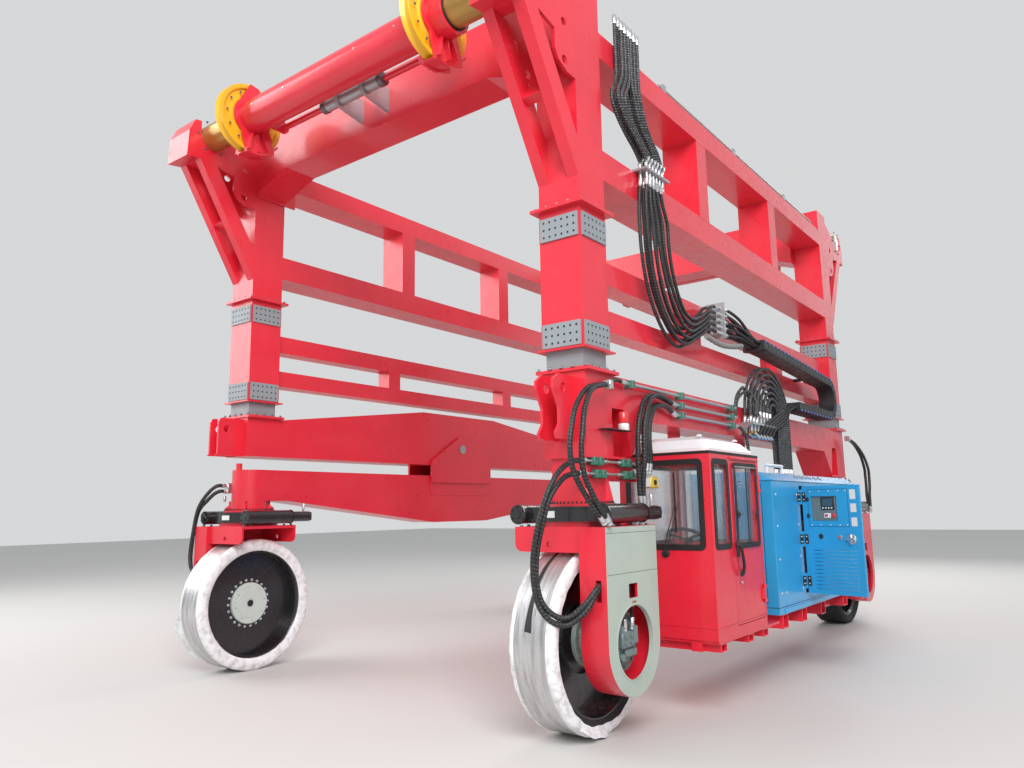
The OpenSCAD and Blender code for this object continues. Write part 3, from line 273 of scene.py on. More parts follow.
# Colour, roughness, clear coat, metal, grime and tone spread; paint() has the ones that a row leaves out
PAINTS = {
    "red_paint": (RED, 0.32, 0.35, 0.0, 0.1),
    "primer_paint": ((0.42, 0.49, 0.43), 0.55, 0.0, 0.0, 0.12),
    "grey_paint": ((0.26, 0.28, 0.3), 0.45, 0.1),
    "black_paint": ((0.014, 0.014, 0.016), 0.26, 0.5),
    "blue_paint": ((0.03, 0.34, 0.66), 0.32),
    "white_plastic": ((0.76, 0.78, 0.8), 0.3, 0.35, 0.0, 0.0, 0.03),
    "dark_plastic": ((0.024, 0.024, 0.026), 0.5, 0.0),
    "engine_iron": ((0.05, 0.05, 0.055), 0.6, 0.0),
    "bare_steel": ((0.4, 0.41, 0.42), 0.34, 0.0, 0.55),
    "zinc_steel": ((0.52, 0.53, 0.54), 0.36, 0.0, 0.75),
    "pad_grey": ((0.27, 0.3, 0.32), 0.5, 0.0, 0.0, 0.15),
    "bronze": ((0.45, 0.27, 0.07), 0.3, 0.2, 0.6),
    "sheave_yellow": ((0.85, 0.46, 0.01), 0.4),
    "tyre_rubber": ((0.02, 0.02, 0.022), 0.75, 0.0, 0.0, 0.35),
    "hose_rubber": ((0.012, 0.012, 0.013), 0.42, 0.0),
    "bolt_steel": ((0.17, 0.17, 0.18), 0.4, 0.0, 0.6),
    "bright_steel": ((0.66, 0.67, 0.68), 0.24, 0.0, 0.85),
    "gasket": ((0.012, 0.012, 0.013), 0.5, 0.0),
    "hole_dark": ((0.01, 0.01, 0.011), 0.8, 0.0),
    "tape_black": ((0.022, 0.021, 0.022), 0.38, 0.0),
    "rim_black": ((0.052, 0.036, 0.034), 0.24, 0.4, 0.0, 0.2),
    "label_white": ((0.72, 0.73, 0.71), 0.4, 0.0, 0.0, 0.0, 0.03),
    "lamp_red": ((0.7, 0.03, 0.03), 0.15, 0.6),
    "lens_white": ((0.8, 0.8, 0.78), 0.12, 0.6),
    "brass": ((0.55, 0.38, 0.1), 0.3, 0.0, 0.8),
    "clamp_green": ((0.045, 0.19, 0.13), 0.45, 0.0),
    "switch_yellow": ((0.8, 0.55, 0.05), 0.4),
    "motor_grey": ((0.15, 0.2, 0.2), 0.4, 0.1, 0.0, 0.3),
    "cap_pale": ((0.56, 0.62, 0.58), 0.5, 0.0, 0.0, 0.08),
    "screen": ((0.05, 0.1, 0.13), 0.12, 0.7),
    # painted blue reflection on the drag chain's black links
    "chain_blue_reflection": ((0.02, 0.17, 0.62), 0.35),
    "foam_grey": ((0.24, 0.24, 0.23), 0.85, 0.0),
    "rust": ((0.3, 0.12, 0.05), 0.8, 0.0),
    "weld_red": (shade(RED, 0.86), 0.42),
}
looks = {name: paint(name, *values) for name, values in PAINTS.items()}
# second colour of each hose look: pale painted highlight, with some dust, on the guard's ridges
looks["hose_cover"] = hose_cover("hose_cover", (0.012, 0.012, 0.013), (0.13, 0.135, 0.14), 38.0, 0.14)
looks["hose_guard"] = hose_cover("hose_guard", (0.014, 0.014, 0.016), (0.26, 0.27, 0.28), 44.0, 0.24)
looks["film_silver"] = film("film_silver", (0.36, 0.355, 0.36), (0.6, 0.595, 0.6), 0.78, 0.3, (9.0, 0.7, 1.0),
                            2.6, "UV")
looks["film_white"] = film("film_white", (0.55, 0.55, 0.56), (0.83, 0.83, 0.84), 0.0, 0.42, (2.0, 2.0, 2.0),
                           7.0)
looks["clear_glass"] = glass()

for part in frame["record"]["subparts"]:
    piece = nodes[part["node"]]
    piece.data.materials.clear()
    # the right front yoke is red like the others; only its arm's outer skin is still in primer
    slot_name = "red_paint" if part["node"] == "yoke_front_right" else part["material_slot"]
    piece.data.materials.append(looks[slot_name])



# Mesh tools

BOX_CORNERS = [(x, y, z) for x in (0, 1) for y in (0, 1) for z in (0, 1)]
SQUARE = ((0, 0), (1, 0), (1, 1), (0, 1))


def around(count, radius, phase=0.0):
    """Places on a circle round 0, 0, the first one turned by phase steps."""
    angles = [2 * pi * (i + phase) / count for i in range(count)]
    return [(radius * cos(a), radius * sin(a)) for a in angles]


def circle(cx, cy, radius, sides=48):
    return [(cx + x, cy + y) for x, y in around(sides, radius)]


def grid(rows, columns, closed=True):
    """Faces of a net with columns points in each row; closed joins the last row to the first."""
    return [(i * columns + k, i * columns + k + 1, (i + 1) % rows * columns + k + 1,
             (i + 1) % rows * columns + k) for i in range(rows if closed else rows - 1)
            for k in range(columns - 1)]


class Shape:
    """The mesh of one piece, gathered part by part; make() turns it into an object."""

    def __init__(self, looks_used, place=None):
        self.looks_used = list(looks_used)
        self.place = place or Matrix()
        self.points, self.faces, self.slots, self.uvs = [], [], [], []

    def add(self, points, faces, look=0, uvs=None):
        start = len(self.points)
        self.points += [self.place @ Vector(p) for p in points]
        self.faces += [tuple(start + k for k in face) for face in faces]
        self.slots += [look] * len(faces)
        self.uvs += uvs if uvs else [[(0.0, 0.0)] * len(face) for face in faces]

    def block(self, low, high, look=0, cut=0.002):
        """A box between two corners, its edges cut: each corner is three points, one for each axis."""
        low, high = [min(p) for p in zip(low, high)], [max(p) for p in zip(low, high)]
        cut = min([cut] + [0.45 * (b - a) for a, b in zip(low, high)])

        def at(axis, along, square, kind):
            signs = [*square]
            signs.insert(axis, along)
            return 3 * BOX_CORNERS.index(tuple(signs)) + kind

        points = [[(low, high)[s[i]][i] + (0 if i == axis else cut * (1 - 2 * s[i])) for i in range(3)]
                  for s in BOX_CORNERS for axis in range(3)]
        faces = [(3 * k, 3 * k + 1, 3 * k + 2) for k in range(8)]
        for axis in range(3):
            one, two = [i for i in range(3) if i != axis]
            faces += [[at(axis, along, ab, axis) for ab in SQUARE] for along in (0, 1)]
            faces += [[at(axis, 0, ab, one), at(axis, 1, ab, one), at(axis, 1, ab, two), at(axis, 0, ab, two)]
                      for ab in SQUARE]
        self.add(points, faces, look)

    def lathe(self, origin, axis, profile, sides=24, look=0):
        """A turned shape; profile lists (distance along the axis, radius)."""
        w = Vector(axis).normalized()
        u = w.orthogonal().normalized()
        v = w.cross(u)
        points, rings, faces = [], [], []
        for along, radius in profile:
            middle = Vector(origin) + w * along
            if radius <= 1e-6:
                rings.append([len(points)] * sides)
                points.append(middle)
            else:
                rings.append(range(len(points), len(points) + sides))
                points += [middle + u * x + v * y for x, y in around(sides, radius)]
        for low, high in zip(rings, rings[1:]):
            for i in range(sides):
                j = (i + 1) % sides
                face = tuple(dict.fromkeys((low[i], low[j], high[j], high[i])))
                if len(face) > 2:
                    faces.append(face)
        self.add(points, faces, look)

    def rod(self, start, end, radius, sides=16, look=0, cut=0.0015):
        start, end = Vector(start), Vector(end)
        length = (end - start).length
        cut = min(cut, radius * 0.4, length * 0.3)
        self.lathe(start, end - start, [(0, 0), (0, radius - cut), (cut, radius), (length - cut, radius),
                                        (length, radius - cut), (length, 0)], sides, look)

    def ring(self, origin, axis, inner, outer, height, sides, look=0):
        """A flat ring that stands height along the axis."""
        self.lathe(origin, axis, [(0, inner), (0, outer), (height - 0.002, outer), (height, outer - 0.002),
                                  (height, inner), (0, inner)], sides, look)

    def bolt(self, place, axis, radius, head, look=0, tip=0.0):
        """A washer and a hexagon head, with a stud tip where one shows."""
        washer = radius * 0.25
        self.lathe(place, axis, [(0, radius * 1.35), (washer, radius * 1.35), (washer, 0)], 12, look)
        start = Vector(place) + Vector(axis).normalized() * washer
        cut = head * 0.18
        self.lathe(start, axis, [(0, radius), (head - cut, radius), (head, radius * 0.84), (head, 0)], 6,
                   look)
        if tip:
            self.rod(start, start + Vector(axis).normalized() * (head + tip), radius * 0.5, 8, look)

    def plate(self, outlines, normal, at, depth, look=0):
        """A flat plate across the axis named normal, from at to at + depth; later outlines are holes."""
        def put(p, level):
            return {"x": (level, *p), "y": (p[0], level, p[1]), "z": (*p, level)}[normal]
        flat = [p for outline in outlines for p in outline]
        count = len(flat)
        triangles = tessellate_polygon([[Vector((*p, 0)) for p in outline] for outline in outlines])
        faces = [tuple(t) for t in triangles] + [tuple(count + k for k in t) for t in triangles]
        start = 0
        for outline in outlines:
            n = len(outline)
            for i in range(n):
                here, there = start + i, start + (i + 1) % n
                faces.append((here, there, count + there, count + here))
            start += n
        self.add([put(p, at) for p in flat] + [put(p, at + depth) for p in flat], faces, look)

    def tube(self, path, radius, sides=8, look=0):
        """A tube along the path's points; radius is a number or one for each point."""
        path = [Vector(p) for p in path]
        count = len(path)
        radii = radius if isinstance(radius, list) else [radius] * count
        along = [(path[min(i + 1, count - 1)] - path[max(i - 1, 0)]).normalized() for i in range(count)]
        side = along[0].orthogonal().normalized()
        points, lengths, total = [], [], 0.0
        for i in range(count):
            if i:
                side = (side - along[i] * side.dot(along[i])).normalized()
                total += (path[i] - path[i - 1]).length
            lengths.append(total)
            other = along[i].cross(side)
            points += [path[i] + side * x + other * y for x, y in around(sides, radii[i])]
        faces, uvs = [], []
        for i in range(count - 1):
            for k in range(sides):
                j = (k + 1) % sides
                faces.append((i * sides + k, i * sides + j, (i + 1) * sides + j, (i + 1) * sides + k))
                uvs.append([((k + du) / sides, lengths[i + dv]) for du, dv in SQUARE])
        for first, v in ((0, lengths[0]), ((count - 1) * sides, lengths[-1])):
            faces.append(tuple(range(first, first + sides)))
            uvs.append([(0.0, v)] * sides)
        self.add(points, faces, look, uvs)

    def make(self, name, body=None, bend=None, soft=40.0):
        """The finished object, riding on a body; given bend, it is fixed in place and rides on neither."""
        mesh = bpy.data.meshes.new(name)
        mesh.from_pydata(self.points, [], self.faces)
        for look in self.looks_used:
            mesh.materials.append(looks[look])
        mesh.polygons.foreach_set("material_index", self.slots)
        layer = mesh.uv_layers.new(name="map")
        layer.data.foreach_set("uv", [x for face in self.uvs for uv in face for x in uv])
        work = bmesh.new()
        work.from_mesh(mesh)
        bmesh.ops.recalc_face_normals(work, faces=work.faces)
        work.to_mesh(mesh)
        work.free()
        mesh.polygons.foreach_set("use_smooth", [True] * len(mesh.polygons))
        mesh.set_sharp_from_angle(angle=radians(soft))
        obj = bpy.data.objects.new(name, mesh)
        bpy.context.collection.objects.link(obj)
        if bend:
            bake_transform(obj)
        else:
            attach(obj, body)
        return obj


def smooth(knots, step):
    """Points along a Catmull-Rom curve through the knots, about step apart."""
    knots = [Vector(k) for k in knots]
    knots = [knots[0] * 2 - knots[1]] + knots + [knots[-1] * 2 - knots[-2]]
    points = []
    for a, b, c, d in zip(knots, knots[1:], knots[2:], knots[3:]):
        count = max(2, ceil((c - b).length / step))
        for i in range(count):
            t = i / count
            points.append(0.5 * ((2 * b) + (c - a) * t + (2 * a - 5 * b + 4 * c - d) * t * t
                                 + (3 * b - a - 3 * c + d) * t ** 3))
    return points + [knots[-2]]


def rounded(x0, y0, x1, y1, radius):
    """Outline of a rectangle with round corners."""
    points = []
    for cx, cy, first in ((x1 - radius, y1 - radius, 0), (x0 + radius, y1 - radius, 90),
                          (x0 + radius, y0 + radius, 180), (x1 - radius, y0 + radius, 270)):
        angles = [radians(first + 18 * i) for i in range(6)]
        points += [(cx + radius * cos(a), cy + radius * sin(a)) for a in angles]
    return points


def swivel(shape, place, axis, radius):
    """A crimped hose end with its hexagon nut, from place along axis, in the shape's second look."""
    w = Vector(axis).normalized()
    place = Vector(place)
    shape.lathe(place, w, [(0, 0), (0, radius * 1.18), (0.02, radius * 1.18), (0.022, radius * 0.8)], 6, 1)
    shape.lathe(place + w * 0.021, w, [(0, radius * 0.7), (0.004, radius * 1.22), (0.06, radius * 1.22),
                                       (0.064, radius * 1.02)], 12, 1)


# Wheels: hub bolts, caps, tyre ribs and the film on the front pair

rng = random.Random(7)
# Section of the film from the tread's edge down the sidewall: (distance from the middle, radius)
BAND = [(0.1325, 0.6656), (0.15, 0.6656), (0.167, 0.661), (0.177, 0.646), (0.1835, 0.63), (0.184, 0.605),
        (0.1835, 0.58), (0.1715, 0.563), (0.159, 0.548), (0.152, 0.535)]
FILM_STEPS = 168
FILM_R = 0.6652


def hub_trim(side, end):
    hub = Shape(["primer_paint", "bright_steel", "gasket", "rim_black", "cap_pale"],
                spot(side, end, WHEEL_X, TYRE_R))
    hub.lathe((0, 0, 0), X, [(0.036, 0.141), (0.036, 0.206), (0.042, 0.212), (0.066, 0.212), (0.073, 0.205),
                             (0.073, 0.165), (0.098, 0.16), (0.102, 0.154), (0.102, 0.141)], 48)
    hub.lathe((0, 0, 0), X, [(-0.021, 0.212), (-0.05, 0.212), (-0.056, 0.205), (-0.056, 0.15), (-0.06, 0.146),
                             (-0.06, 0.052), (-0.056, 0.05), (-0.056, 0.0)], 48, 4)
    hub.lathe((-0.0565, 0, 0), -X, [(0, 0.034), (0.007, 0.034), (0.01, 0.03), (0.01, 0.0)], 20, 2)
    for y, z in around(16, 0.186, 0.5):
        hub.bolt((0.073, y, z), X, 0.0105, 0.01, 1)
    for y, z in around(22, 0.238):
        hub.bolt((-0.0205, y, z), -X, 0.0115, 0.012, 1, tip=0.005)
    for y, z in around(8, 0.172, 0.25):
        hub.bolt((-0.056, y, z), -X, 0.0065, 0.005, 1)
    hub.lathe((0, 0, 0), X, [(-0.1535, 0.5515), (-0.158, 0.549), (-0.159, 0.544), (-0.15, 0.536),
                             (-0.149, 0.548)], 96, 3)
    hub.make(f"hub_{end}_{side}", f"wheel_{end}_{side}")


def tyre_ribs(side, end):
    """Moulded rings on the sidewalls and a row of short ribs at the shoulders."""
    ribs = Shape(["tyre_rubber"], spot(side, end, WHEEL_X, TYRE_R))
    for x in (X, -X):
        for radius, high in ((0.594, 0.0035), (0.612, 0.0022), (0.625, 0.003)):
            ribs.lathe(x * TYRE_HALF, x, [(-0.001, radius - 0.0045), (high, radius - 0.002),
                                          (high, radius + 0.002), (-0.001, radius + 0.0045)], 96)
        for y, z in around(60, 1.0):
            u, v = Vector((0, y, z)), Vector((0, -z, y))
            low, high = u * 0.6335 + x * 0.1755, u * 0.652 + x * 0.166
            ribs.add([low - v * 0.01, low + v * 0.01, high + v * 0.007, high - v * 0.007,
                      low - v * 0.008 + x * 0.003, low + v * 0.008 + x * 0.003, high + v * 0.005 + x * 0.0035,
                      high - v * 0.005 + x * 0.0035], [(0, 1, 2, 3), (4, 5, 6, 7), (0, 1, 5, 4), (1, 2, 6, 5),
                                                       (2, 3, 7, 6), (3, 0, 4, 7)])
    ribs.make(f"tyre_ribs_{end}_{side}", f"wheel_{end}_{side}", soft=30.0)


def on_tread(x, a, lift=0.0):
    """A point on the wavy film over the tread."""
    r = FILM_R + lift + 0.0004 * sin(9 * a + 40 * x) + 0.0003 * sin(23 * a - 25 * x)
    return (x, r * cos(a), r * sin(a))


def on_band(s):
    """Distance from the middle and radius, s points down the film's section."""
    low = min(int(s), len(BAND) - 2)
    return [p + (q - p) * (s - low) for p, q in zip(BAND[low], BAND[low + 1])]


def film_band(side, reach, rag, tape, flaps):
    """Packing film on a new front tyre: foil round the tread and torn white film down both sidewalls."""
    wrap = Shape(["film_silver", "film_white", "tape_black"], spot(side, "front", WHEEL_X, TYRE_R))
    waves = [(k, rng.uniform(0, 2 * pi), rng.uniform(0.3, 1.0) / k ** 0.5) for k in (2, 3, 5, 7, 11, 17, 29)]
    loop = [2 * pi * i / FILM_STEPS for i in range(FILM_STEPS)]
    across = [-0.1325, -0.09, -0.045, 0.0, 0.045, 0.09, 0.1325]
    pitch = 2 * pi * TYRE_R / FILM_STEPS
    wrap.add([on_tread(x, a) for a in loop for x in across], grid(FILM_STEPS, 7),
             uvs=[[(across[k + du], (i + dv) * pitch) for du, dv in SQUARE] for i in range(FILM_STEPS)
                  for k in range(6)])
    for face in (1, -1):
        points = []
        for a in loop:
            wave = sum(size * sin(k * a + shift * face) for k, shift, size in waves) / 2.2
            stop = max(0.3, min(1.0, reach[face] + rag * wave))
            for k in range(7):
                x, r = on_band(stop * k / 6 * (len(BAND) - 1))
                fold = 0.0016 * (1 + sin(31 * a + 5 * k)) if 0 < k < 6 else 0.0
                points.append((face * (x + fold), (r + fold) * cos(a), (r + fold) * sin(a)))
        wrap.add(points, grid(FILM_STEPS, 7), 1)
    if tape:
        strip = []
        for i in range(25):
            t = i / 24
            a = radians(tape[0] + (tape[1] - tape[0]) * t)
            x, half = -0.03 + 0.016 * t, 0.007 + 0.02 * t + 0.004 * sin(7 * t)
            strip += [on_tread(x - half, a, 0.0016), on_tread(x + half, a + 0.012, 0.0016)]
        wrap.add(strip, grid(25, 2, False), 2)
    for a0, a1, reach_out in flaps:
        points = []
        for i in range(13):
            s = i / 12
            a = radians(a0 + (a1 - a0) * s)
            out = reach_out * sin(pi * s) ** 0.6 * (1 + 0.25 * sin(9 * s))
            for k in range(7):
                t = k / 6
                r = 0.612 + 0.05 * t + 0.006 * sin(11 * s + 4 * t)
                r = min(r, 0.66 / max(0.2, abs(sin(a)))) if sin(a) < -0.7 else r
                x = 0.185 + out * t ** 1.3 + 0.003 * sin(20 * s + 6 * t)
                points.append((x, r * cos(a), r * sin(a)))
        wrap.add(points, grid(13, 7, False), 1)
    wrap.make(f"film_front_{side}", f"wheel_front_{side}", soft=60.0)


for end in ENDS:
    for side in SIDES:
        hub_trim(side, end)
        if end == "rear":
            tyre_ribs(side, end)
film_band("right", {1: 0.66, -1: 0.8}, 0.16, (108, 170), [(238, 272, 0.035)])
film_band("left", {1: 0.86, -1: 0.92}, 0.12, None, [(186, 232, 0.11)])


# Yokes: arm skins, hub motors, plate bolts

def arm_skin(trim, thick):
    """Sheet over the arm's outer face with its window and port cut, a spring in the port and rust spots."""
    rim = [(WEB_HALF * cos(radians(a)), TYRE_R + WEB_HALF * sin(radians(a))) for a in range(180, 361, 6)]
    trim.plate([rim + [(WEB_HALF, 1.4665), (-WEB_HALF, 1.4665)], circle(0, TYRE_R, 0.2565, 64),
                rounded(-0.072, 0.968, 0.056, 1.068, 0.01)], "x", ARM_OUT + 0.0003, thick)
    trim.tube([(ARM_OUT - 0.014 + 0.006 * sin(t), -0.034 + 0.009 * cos(t), 0.972 + 0.092 * t / 31.4)
               for t in [0.4 * i for i in range(79)]], 0.0026, 6, 1)
    for i in range(14):
        y, z = 0.022 * sin(2.4 * i) - 0.005, 0.934 + 0.012 * cos(1.7 * i) - 0.0007 * i
        trim.lathe((ARM_OUT + thick + 0.0002, y, z), X,
                   [(0, 0.006 + 0.003 * (i % 3)), (0.001, 0.004), (0.001, 0)], 9, 4)


def yoke_trim(side, end):
    primer = (side, end) == ("right", "front")
    trim = Shape(["primer_paint" if primer else "red_paint", "gasket", "bolt_steel", "bright_steel", "rust"],
                 spot(side, end, LEG_X, 0.0))
    lip = 0.0035 if primer else 0.0
    x = ARM_OUT + lip
    if primer:
        arm_skin(trim, lip)
    trim.ring((x, 0, TYRE_R), X, 0.2555, 0.268, 0.003, 64)
    trim.lathe((x, 0, TYRE_R), X, [(-0.03, 0.2553), (0.003, 0.2553), (0.003, 0.2535), (-0.03, 0.2535)], 64)
    # bolts through the deck under the slewing ring, on the two lips that show beside it
    for y in (-0.29, -0.2, 0.2, 0.29):
        for bolt_x in (-0.345, 0.395):
            trim.bolt((bolt_x, y, 1.47), Z, 0.013, 0.012, 2)
    # cracked paint along the folded arm's seams
    for z in (1.424, 1.143):
        trim.block((x, -0.364, z), (x + 0.0012, 0.364, z + 0.0024), 1, 0.0005)
    trim.make(f"yoke_trim_{end}_{side}", f"yoke_{end}_{side}")


def motor_trim(side, end):
    """End cover of the hub motor, its port blocks and fittings, set deep in the arm's window."""
    motor = Shape(["motor_grey", "bright_steel", "gasket", "bolt_steel"], spot(side, end, LEG_X, TYRE_R))
    motor.lathe((0, 0, 0), X, [(0.232, 0.2115), (0.315, 0.2115), (0.317, 0.2095), (0.317, 0.188),
                               (0.325, 0.182), (0.334, 0.15), (0.342, 0.142), (0.344, 0.09), (0.352, 0.084),
                               (0.354, 0.0)], 40)
    motor.block((0.335, -0.118, -0.04), (0.392, 0.06, 0.072), 0, 0.01)
    motor.block((0.335, -0.05, -0.11), (0.378, 0.11, -0.046), 0, 0.012)
    motor.rod((0.36, 0.095, -0.02), (0.36, 0.095, 0.098), 0.03, 14, 0, 0.004)
    motor.rod((0.36, -0.085, 0.065), (0.36, -0.085, 0.116), 0.026, 14, 0, 0.004)
    motor.rod((0.335, -0.1, -0.1), (0.385, -0.1, -0.1), 0.028, 12, 0, 0.005)
    for y, z in around(10, 0.17, 0.5):
        motor.bolt((0.326, y, z), X, 0.011, 0.011, 3)
    for y in (-0.075, 0.005):
        for z in (-0.005, 0.042):
            motor.lathe((0.39, y, z), X, [(0, 0.019), (0.01, 0.019), (0.012, 0.016), (0.012, 0)], 6)
    for y, way in ((-0.05, -1), (0.04, 1)):
        swivel(motor, (0.372, y, 0.076), (0.05, 0.15 * way, 1), 0.014)
        motor.tube(smooth([(0.376, y + 0.01 * way, 0.128), (0.362, y + 0.03 * way, 0.178),
                           (0.345, y + 0.05 * way, 0.235), (0.33, y + 0.05 * way, 0.3)], 0.02), 0.0125, 8, 2)
    motor.make(f"hub_motor_trim_{end}_{side}", f"yoke_{end}_{side}")


for end in ENDS:
    for side in SIDES:
        yoke_trim(side, end)
        motor_trim(side, end)


# Bolt rings on the legs, slewing drives and pads

def column_trim(side, end):
    bolts = Shape(["gasket", "bright_steel", "label_white", "gasket", "red_paint", "black_paint"],
                  spot(side, end, LEG_X, 0.0))
    for x, y in around(48, 0.247, 0.5):
        bolts.bolt((x, y, BOLT_RING_Z), Z, 0.0085, 0.012, 0, tip=0.004)
    bolts.ring((0, 0, 1.5955), Z, 0.3, 0.3325, 0.0035, 64, 3)
    for inner, outer in zip(around(4, 0.327, 0.5), around(4, 0.337, 0.5)):
        bolts.rod((*inner, 1.575), (*outer, 1.575), 0.007, 8, 1)
    for x in (0.37, -0.37):
        for y, face in ((-0.292, -1), (0.252, 1)):
            bolts.lathe((x, y, 1.56), (0, face, 0), [(0, 0.074), (0.01, 0.074), (0.014, 0.07), (0.014, 0.03),
                                                     (0.022, 0.026), (0.022, 0)], 28, 5)
            for u, v in around(6, 0.058, 0.5):
                bolts.bolt((x + u, y + face * 0.014, 1.56 + v), (0, face, 0), 0.007, 0.007, 5)
        bolts.block((x - 0.044, 0.5, 1.516), (x + 0.044, 0.512, 1.604), 0, 0.004)
        swivel(bolts, (x, 0.43, 1.612), Z, 0.011)
    # bolts on the slewing block
    for y in (-0.21, -0.07, 0.07, 0.21):
        for x in (-0.345, 0.345):
            bolts.bolt((x, y, 1.6145), Z, 0.011, 0.01, 5)
    # blank label on the slewing ring's front
    for i in range(4):
        a, b = (radians(250 + 4.5 * k) for k in (i, i + 1))
        section = ((0.333, a), (0.3345, a), (0.3345, b), (0.333, b))
        bolts.add([(r * cos(t), r * sin(t), z) for z in (1.535, 1.583) for r, t in section],
                  [(0, 1, 2, 3), (4, 5, 6, 7), (1, 2, 6, 5), (0, 1, 5, 4), (2, 3, 7, 6)], 2)
    bolts.make(f"slew_bolts_{end}_{side}", "base_right" if side == "right" else "rocker")


def flange_bolts(name, body, side, end, z, edge):
    """Bolts along the four edges of the flange at height z."""
    flange = Shape(["bolt_steel"], spot(side, end, LEG_X, z))
    for share in (-1.0, -0.5, 0.0, 0.5, 1.0):
        for b in (-edge, edge):
            flange.bolt((b, 0.205 * share, 0), Z, 0.0125, 0.013, tip=0.006)
            if abs(share) < 1.0:
                flange.bolt((0.205 * share, b, 0), Z, 0.0125, 0.013, tip=0.006)
    flange.make(f"{name}_bolts_{end}_{side}", body)


def pad_holes(side, end):
    """Three rows of six countersunk holes on each guide pad that shows."""
    holes = Shape(["hole_dark", "pad_grey"], spot(side, end, LEG_X, 0.0))
    face = HALF_LEG + 0.0142
    for z in (2.91, 3.768):
        for row in (-0.06, 0.0, 0.06):
            for i in range(6):
                u = -0.14 + 0.056 * i
                for way, across in ((X, Y), (-X, Y), (Y, X), (-Y, X)):
                    place = way * face + across * u + Z * (z + row)
                    holes.lathe(place, way, [(0, 0.0125), (0.0008, 0.0125), (0.0008, 0.0095)], 10, 1)
                    holes.lathe(place, way, [(0.0002, 0.0098), (0.0006, 0.0)], 10, 0)
    holes.make(f"pad_holes_{end}_{side}", f"mid_{side}")


for end in ENDS:
    for side in SIDES:
        column_trim(side, end)
        flange_bolts("seat", f"base_{side}", side, end, 2.645, 0.215)
        flange_bolts("foot", "upper_frame", side, end, 3.945, 0.22)
        pad_holes(side, end)


# Hydraulic hoses

def hose(shape, knots, radius=HOSE_R, start=True, end=True, step=0.035):
    """One curved hose through the knots, with crimped ends where asked."""
    path = smooth(knots, step)
    shape.tube(path, radius, 10)
    for wanted, place, inner in ((start, path[0], path[1]), (end, path[-1], path[-2])):
        if wanted:
            swivel(shape, place - (inner - place).normalized() * 0.012, inner - place, radius)


# The pair on a yoke of the cab side, and on a yoke of the rocker beam
STEER_KNOTS = [(2.305, -3.47, 1.945), (2.303, -3.62, 1.93), (2.3, -3.78, 1.86), (2.276, -3.9, 1.707),
               (2.237, -3.95, 1.519), (2.19, -3.955, 1.32), (2.177, -3.945, 1.122), (2.21, -3.93, 0.953),
               (2.276, -3.88, 0.855), (2.35, -3.8, 0.831), (2.444, -3.72, 0.919), (2.485, -3.645, 1.035),
               (2.49, -3.6, 1.06)]
ROCKER_KNOTS = [(2.31, -3.4, 1.9), (2.325, -3.53, 1.895), (2.4, -3.6, 1.8), (2.51, -3.625, 1.646),
                (2.58, -3.63, 1.38), (2.605, -3.635, 1.16), (2.56, -3.64, 1.03), (2.5, -3.625, 1.02),
                (2.487, -3.595, 1.06)]
LOOP_MIDDLE = (-3.72, 1.35)


def second_hose(side, i, last, x, y, z):
    """A point of the pair's second hose, beside point i of the first: within its loop on the cab side."""
    if side == "left":
        low = 0.5 - 0.5 * cos(2 * pi * min(1.0, i / last * 1.1))
        return (x + 0.026 * low, y + 0.02 * (1 if i < last - 1 else 0.3),
                z - (0.06 if i < 3 else 0.03) * (1 if i < last - 1 else 0.2))
    if i < 3:
        return Vector((x, y, z)) + Vector(((0, 0, -0.095), (0, 0, -0.088), (0, 0.025, -0.06))[i])
    inward = Vector((0.0, LOOP_MIDDLE[0] - y, LOOP_MIDDLE[1] - z)).normalized() * 0.047
    return Vector((x, y, z)) + inward * (1 if i < last - 1 else 0.4)


def steer_hoses(side, end):
    """The pair that hangs from the column's clamps and goes into the slot at the edge of the yoke's arm."""
    turn = corner(side, end)
    pair = Shape(["hose_cover", "bright_steel"], turn)
    knots = STEER_KNOTS if side == "right" else ROCKER_KNOTS
    last = len(knots) - 1
    hose(pair, knots, GUARDED_R, end=False, step=0.03)
    hose(pair, [second_hose(side, i, last, *knot) for i, knot in enumerate(knots)], GUARDED_R, end=False,
         step=0.03)
    base = "base_right" if side == "right" else "rocker"
    start, stop = tuple(turn @ Vector((2.28, -3.8, 1.62))), tuple(turn @ Vector((2.44, -3.7, 1.05)))
    pair.make(f"steer_hoses_{end}_{side}", bend=(base, f"yoke_{end}_{side}", start, stop))
    if side == "left":
        block = Shape(["bright_steel"], turn)
        block.block((2.275, -3.425, 1.82), (2.345, -3.375, 1.93), 0, 0.006)
        block.block((2.272, -3.462, 1.73), (2.3, -3.438, 1.79), 0, 0.004)
        block.make(f"steer_block_{end}_{side}", base)


# Each knot of the first hose, with the share of the pair's spacing there
SLEW_KNOTS = [(2.4, -3.28, 2.52, 0.2), (2.42, -3.57, 2.455, 0.45), (2.45, -3.78, 2.302, 0.8),
              (2.468, -3.88, 2.12, 1.0), (2.468, -3.9, 1.995, 1.0), (2.475, -3.88, 1.86, 0.9),
              (2.49, -3.8, 1.73, 0.75), (2.52, -3.7, 1.6, 0.6), (2.535, -3.635, 1.535, 0.5),
              (2.545, -3.61, 1.5, 0.45)]


def slew_hoses(end):
    """The pair from the beam's head down to the front slewing motor, on the cab side."""
    pair = Shape(["hose_cover", "bright_steel"], corner("right", end))
    for k in (0, 1):
        hose(pair, [(x + 0.062 * k * s, y + 0.047 * k * s, z - 0.012 * k * s) for x, y, z, s in SLEW_KNOTS],
             GUARDED_R, start=False, step=0.03)
    pair.block((2.385, -3.31, 2.475), (2.455, -3.26, 2.545), 1, 0.005)
    pair.make(f"slew_hoses_{end}", "base_right")


for end in ENDS:
    slew_hoses(end)
    for side in SIDES:
        steer_hoses(side, end)


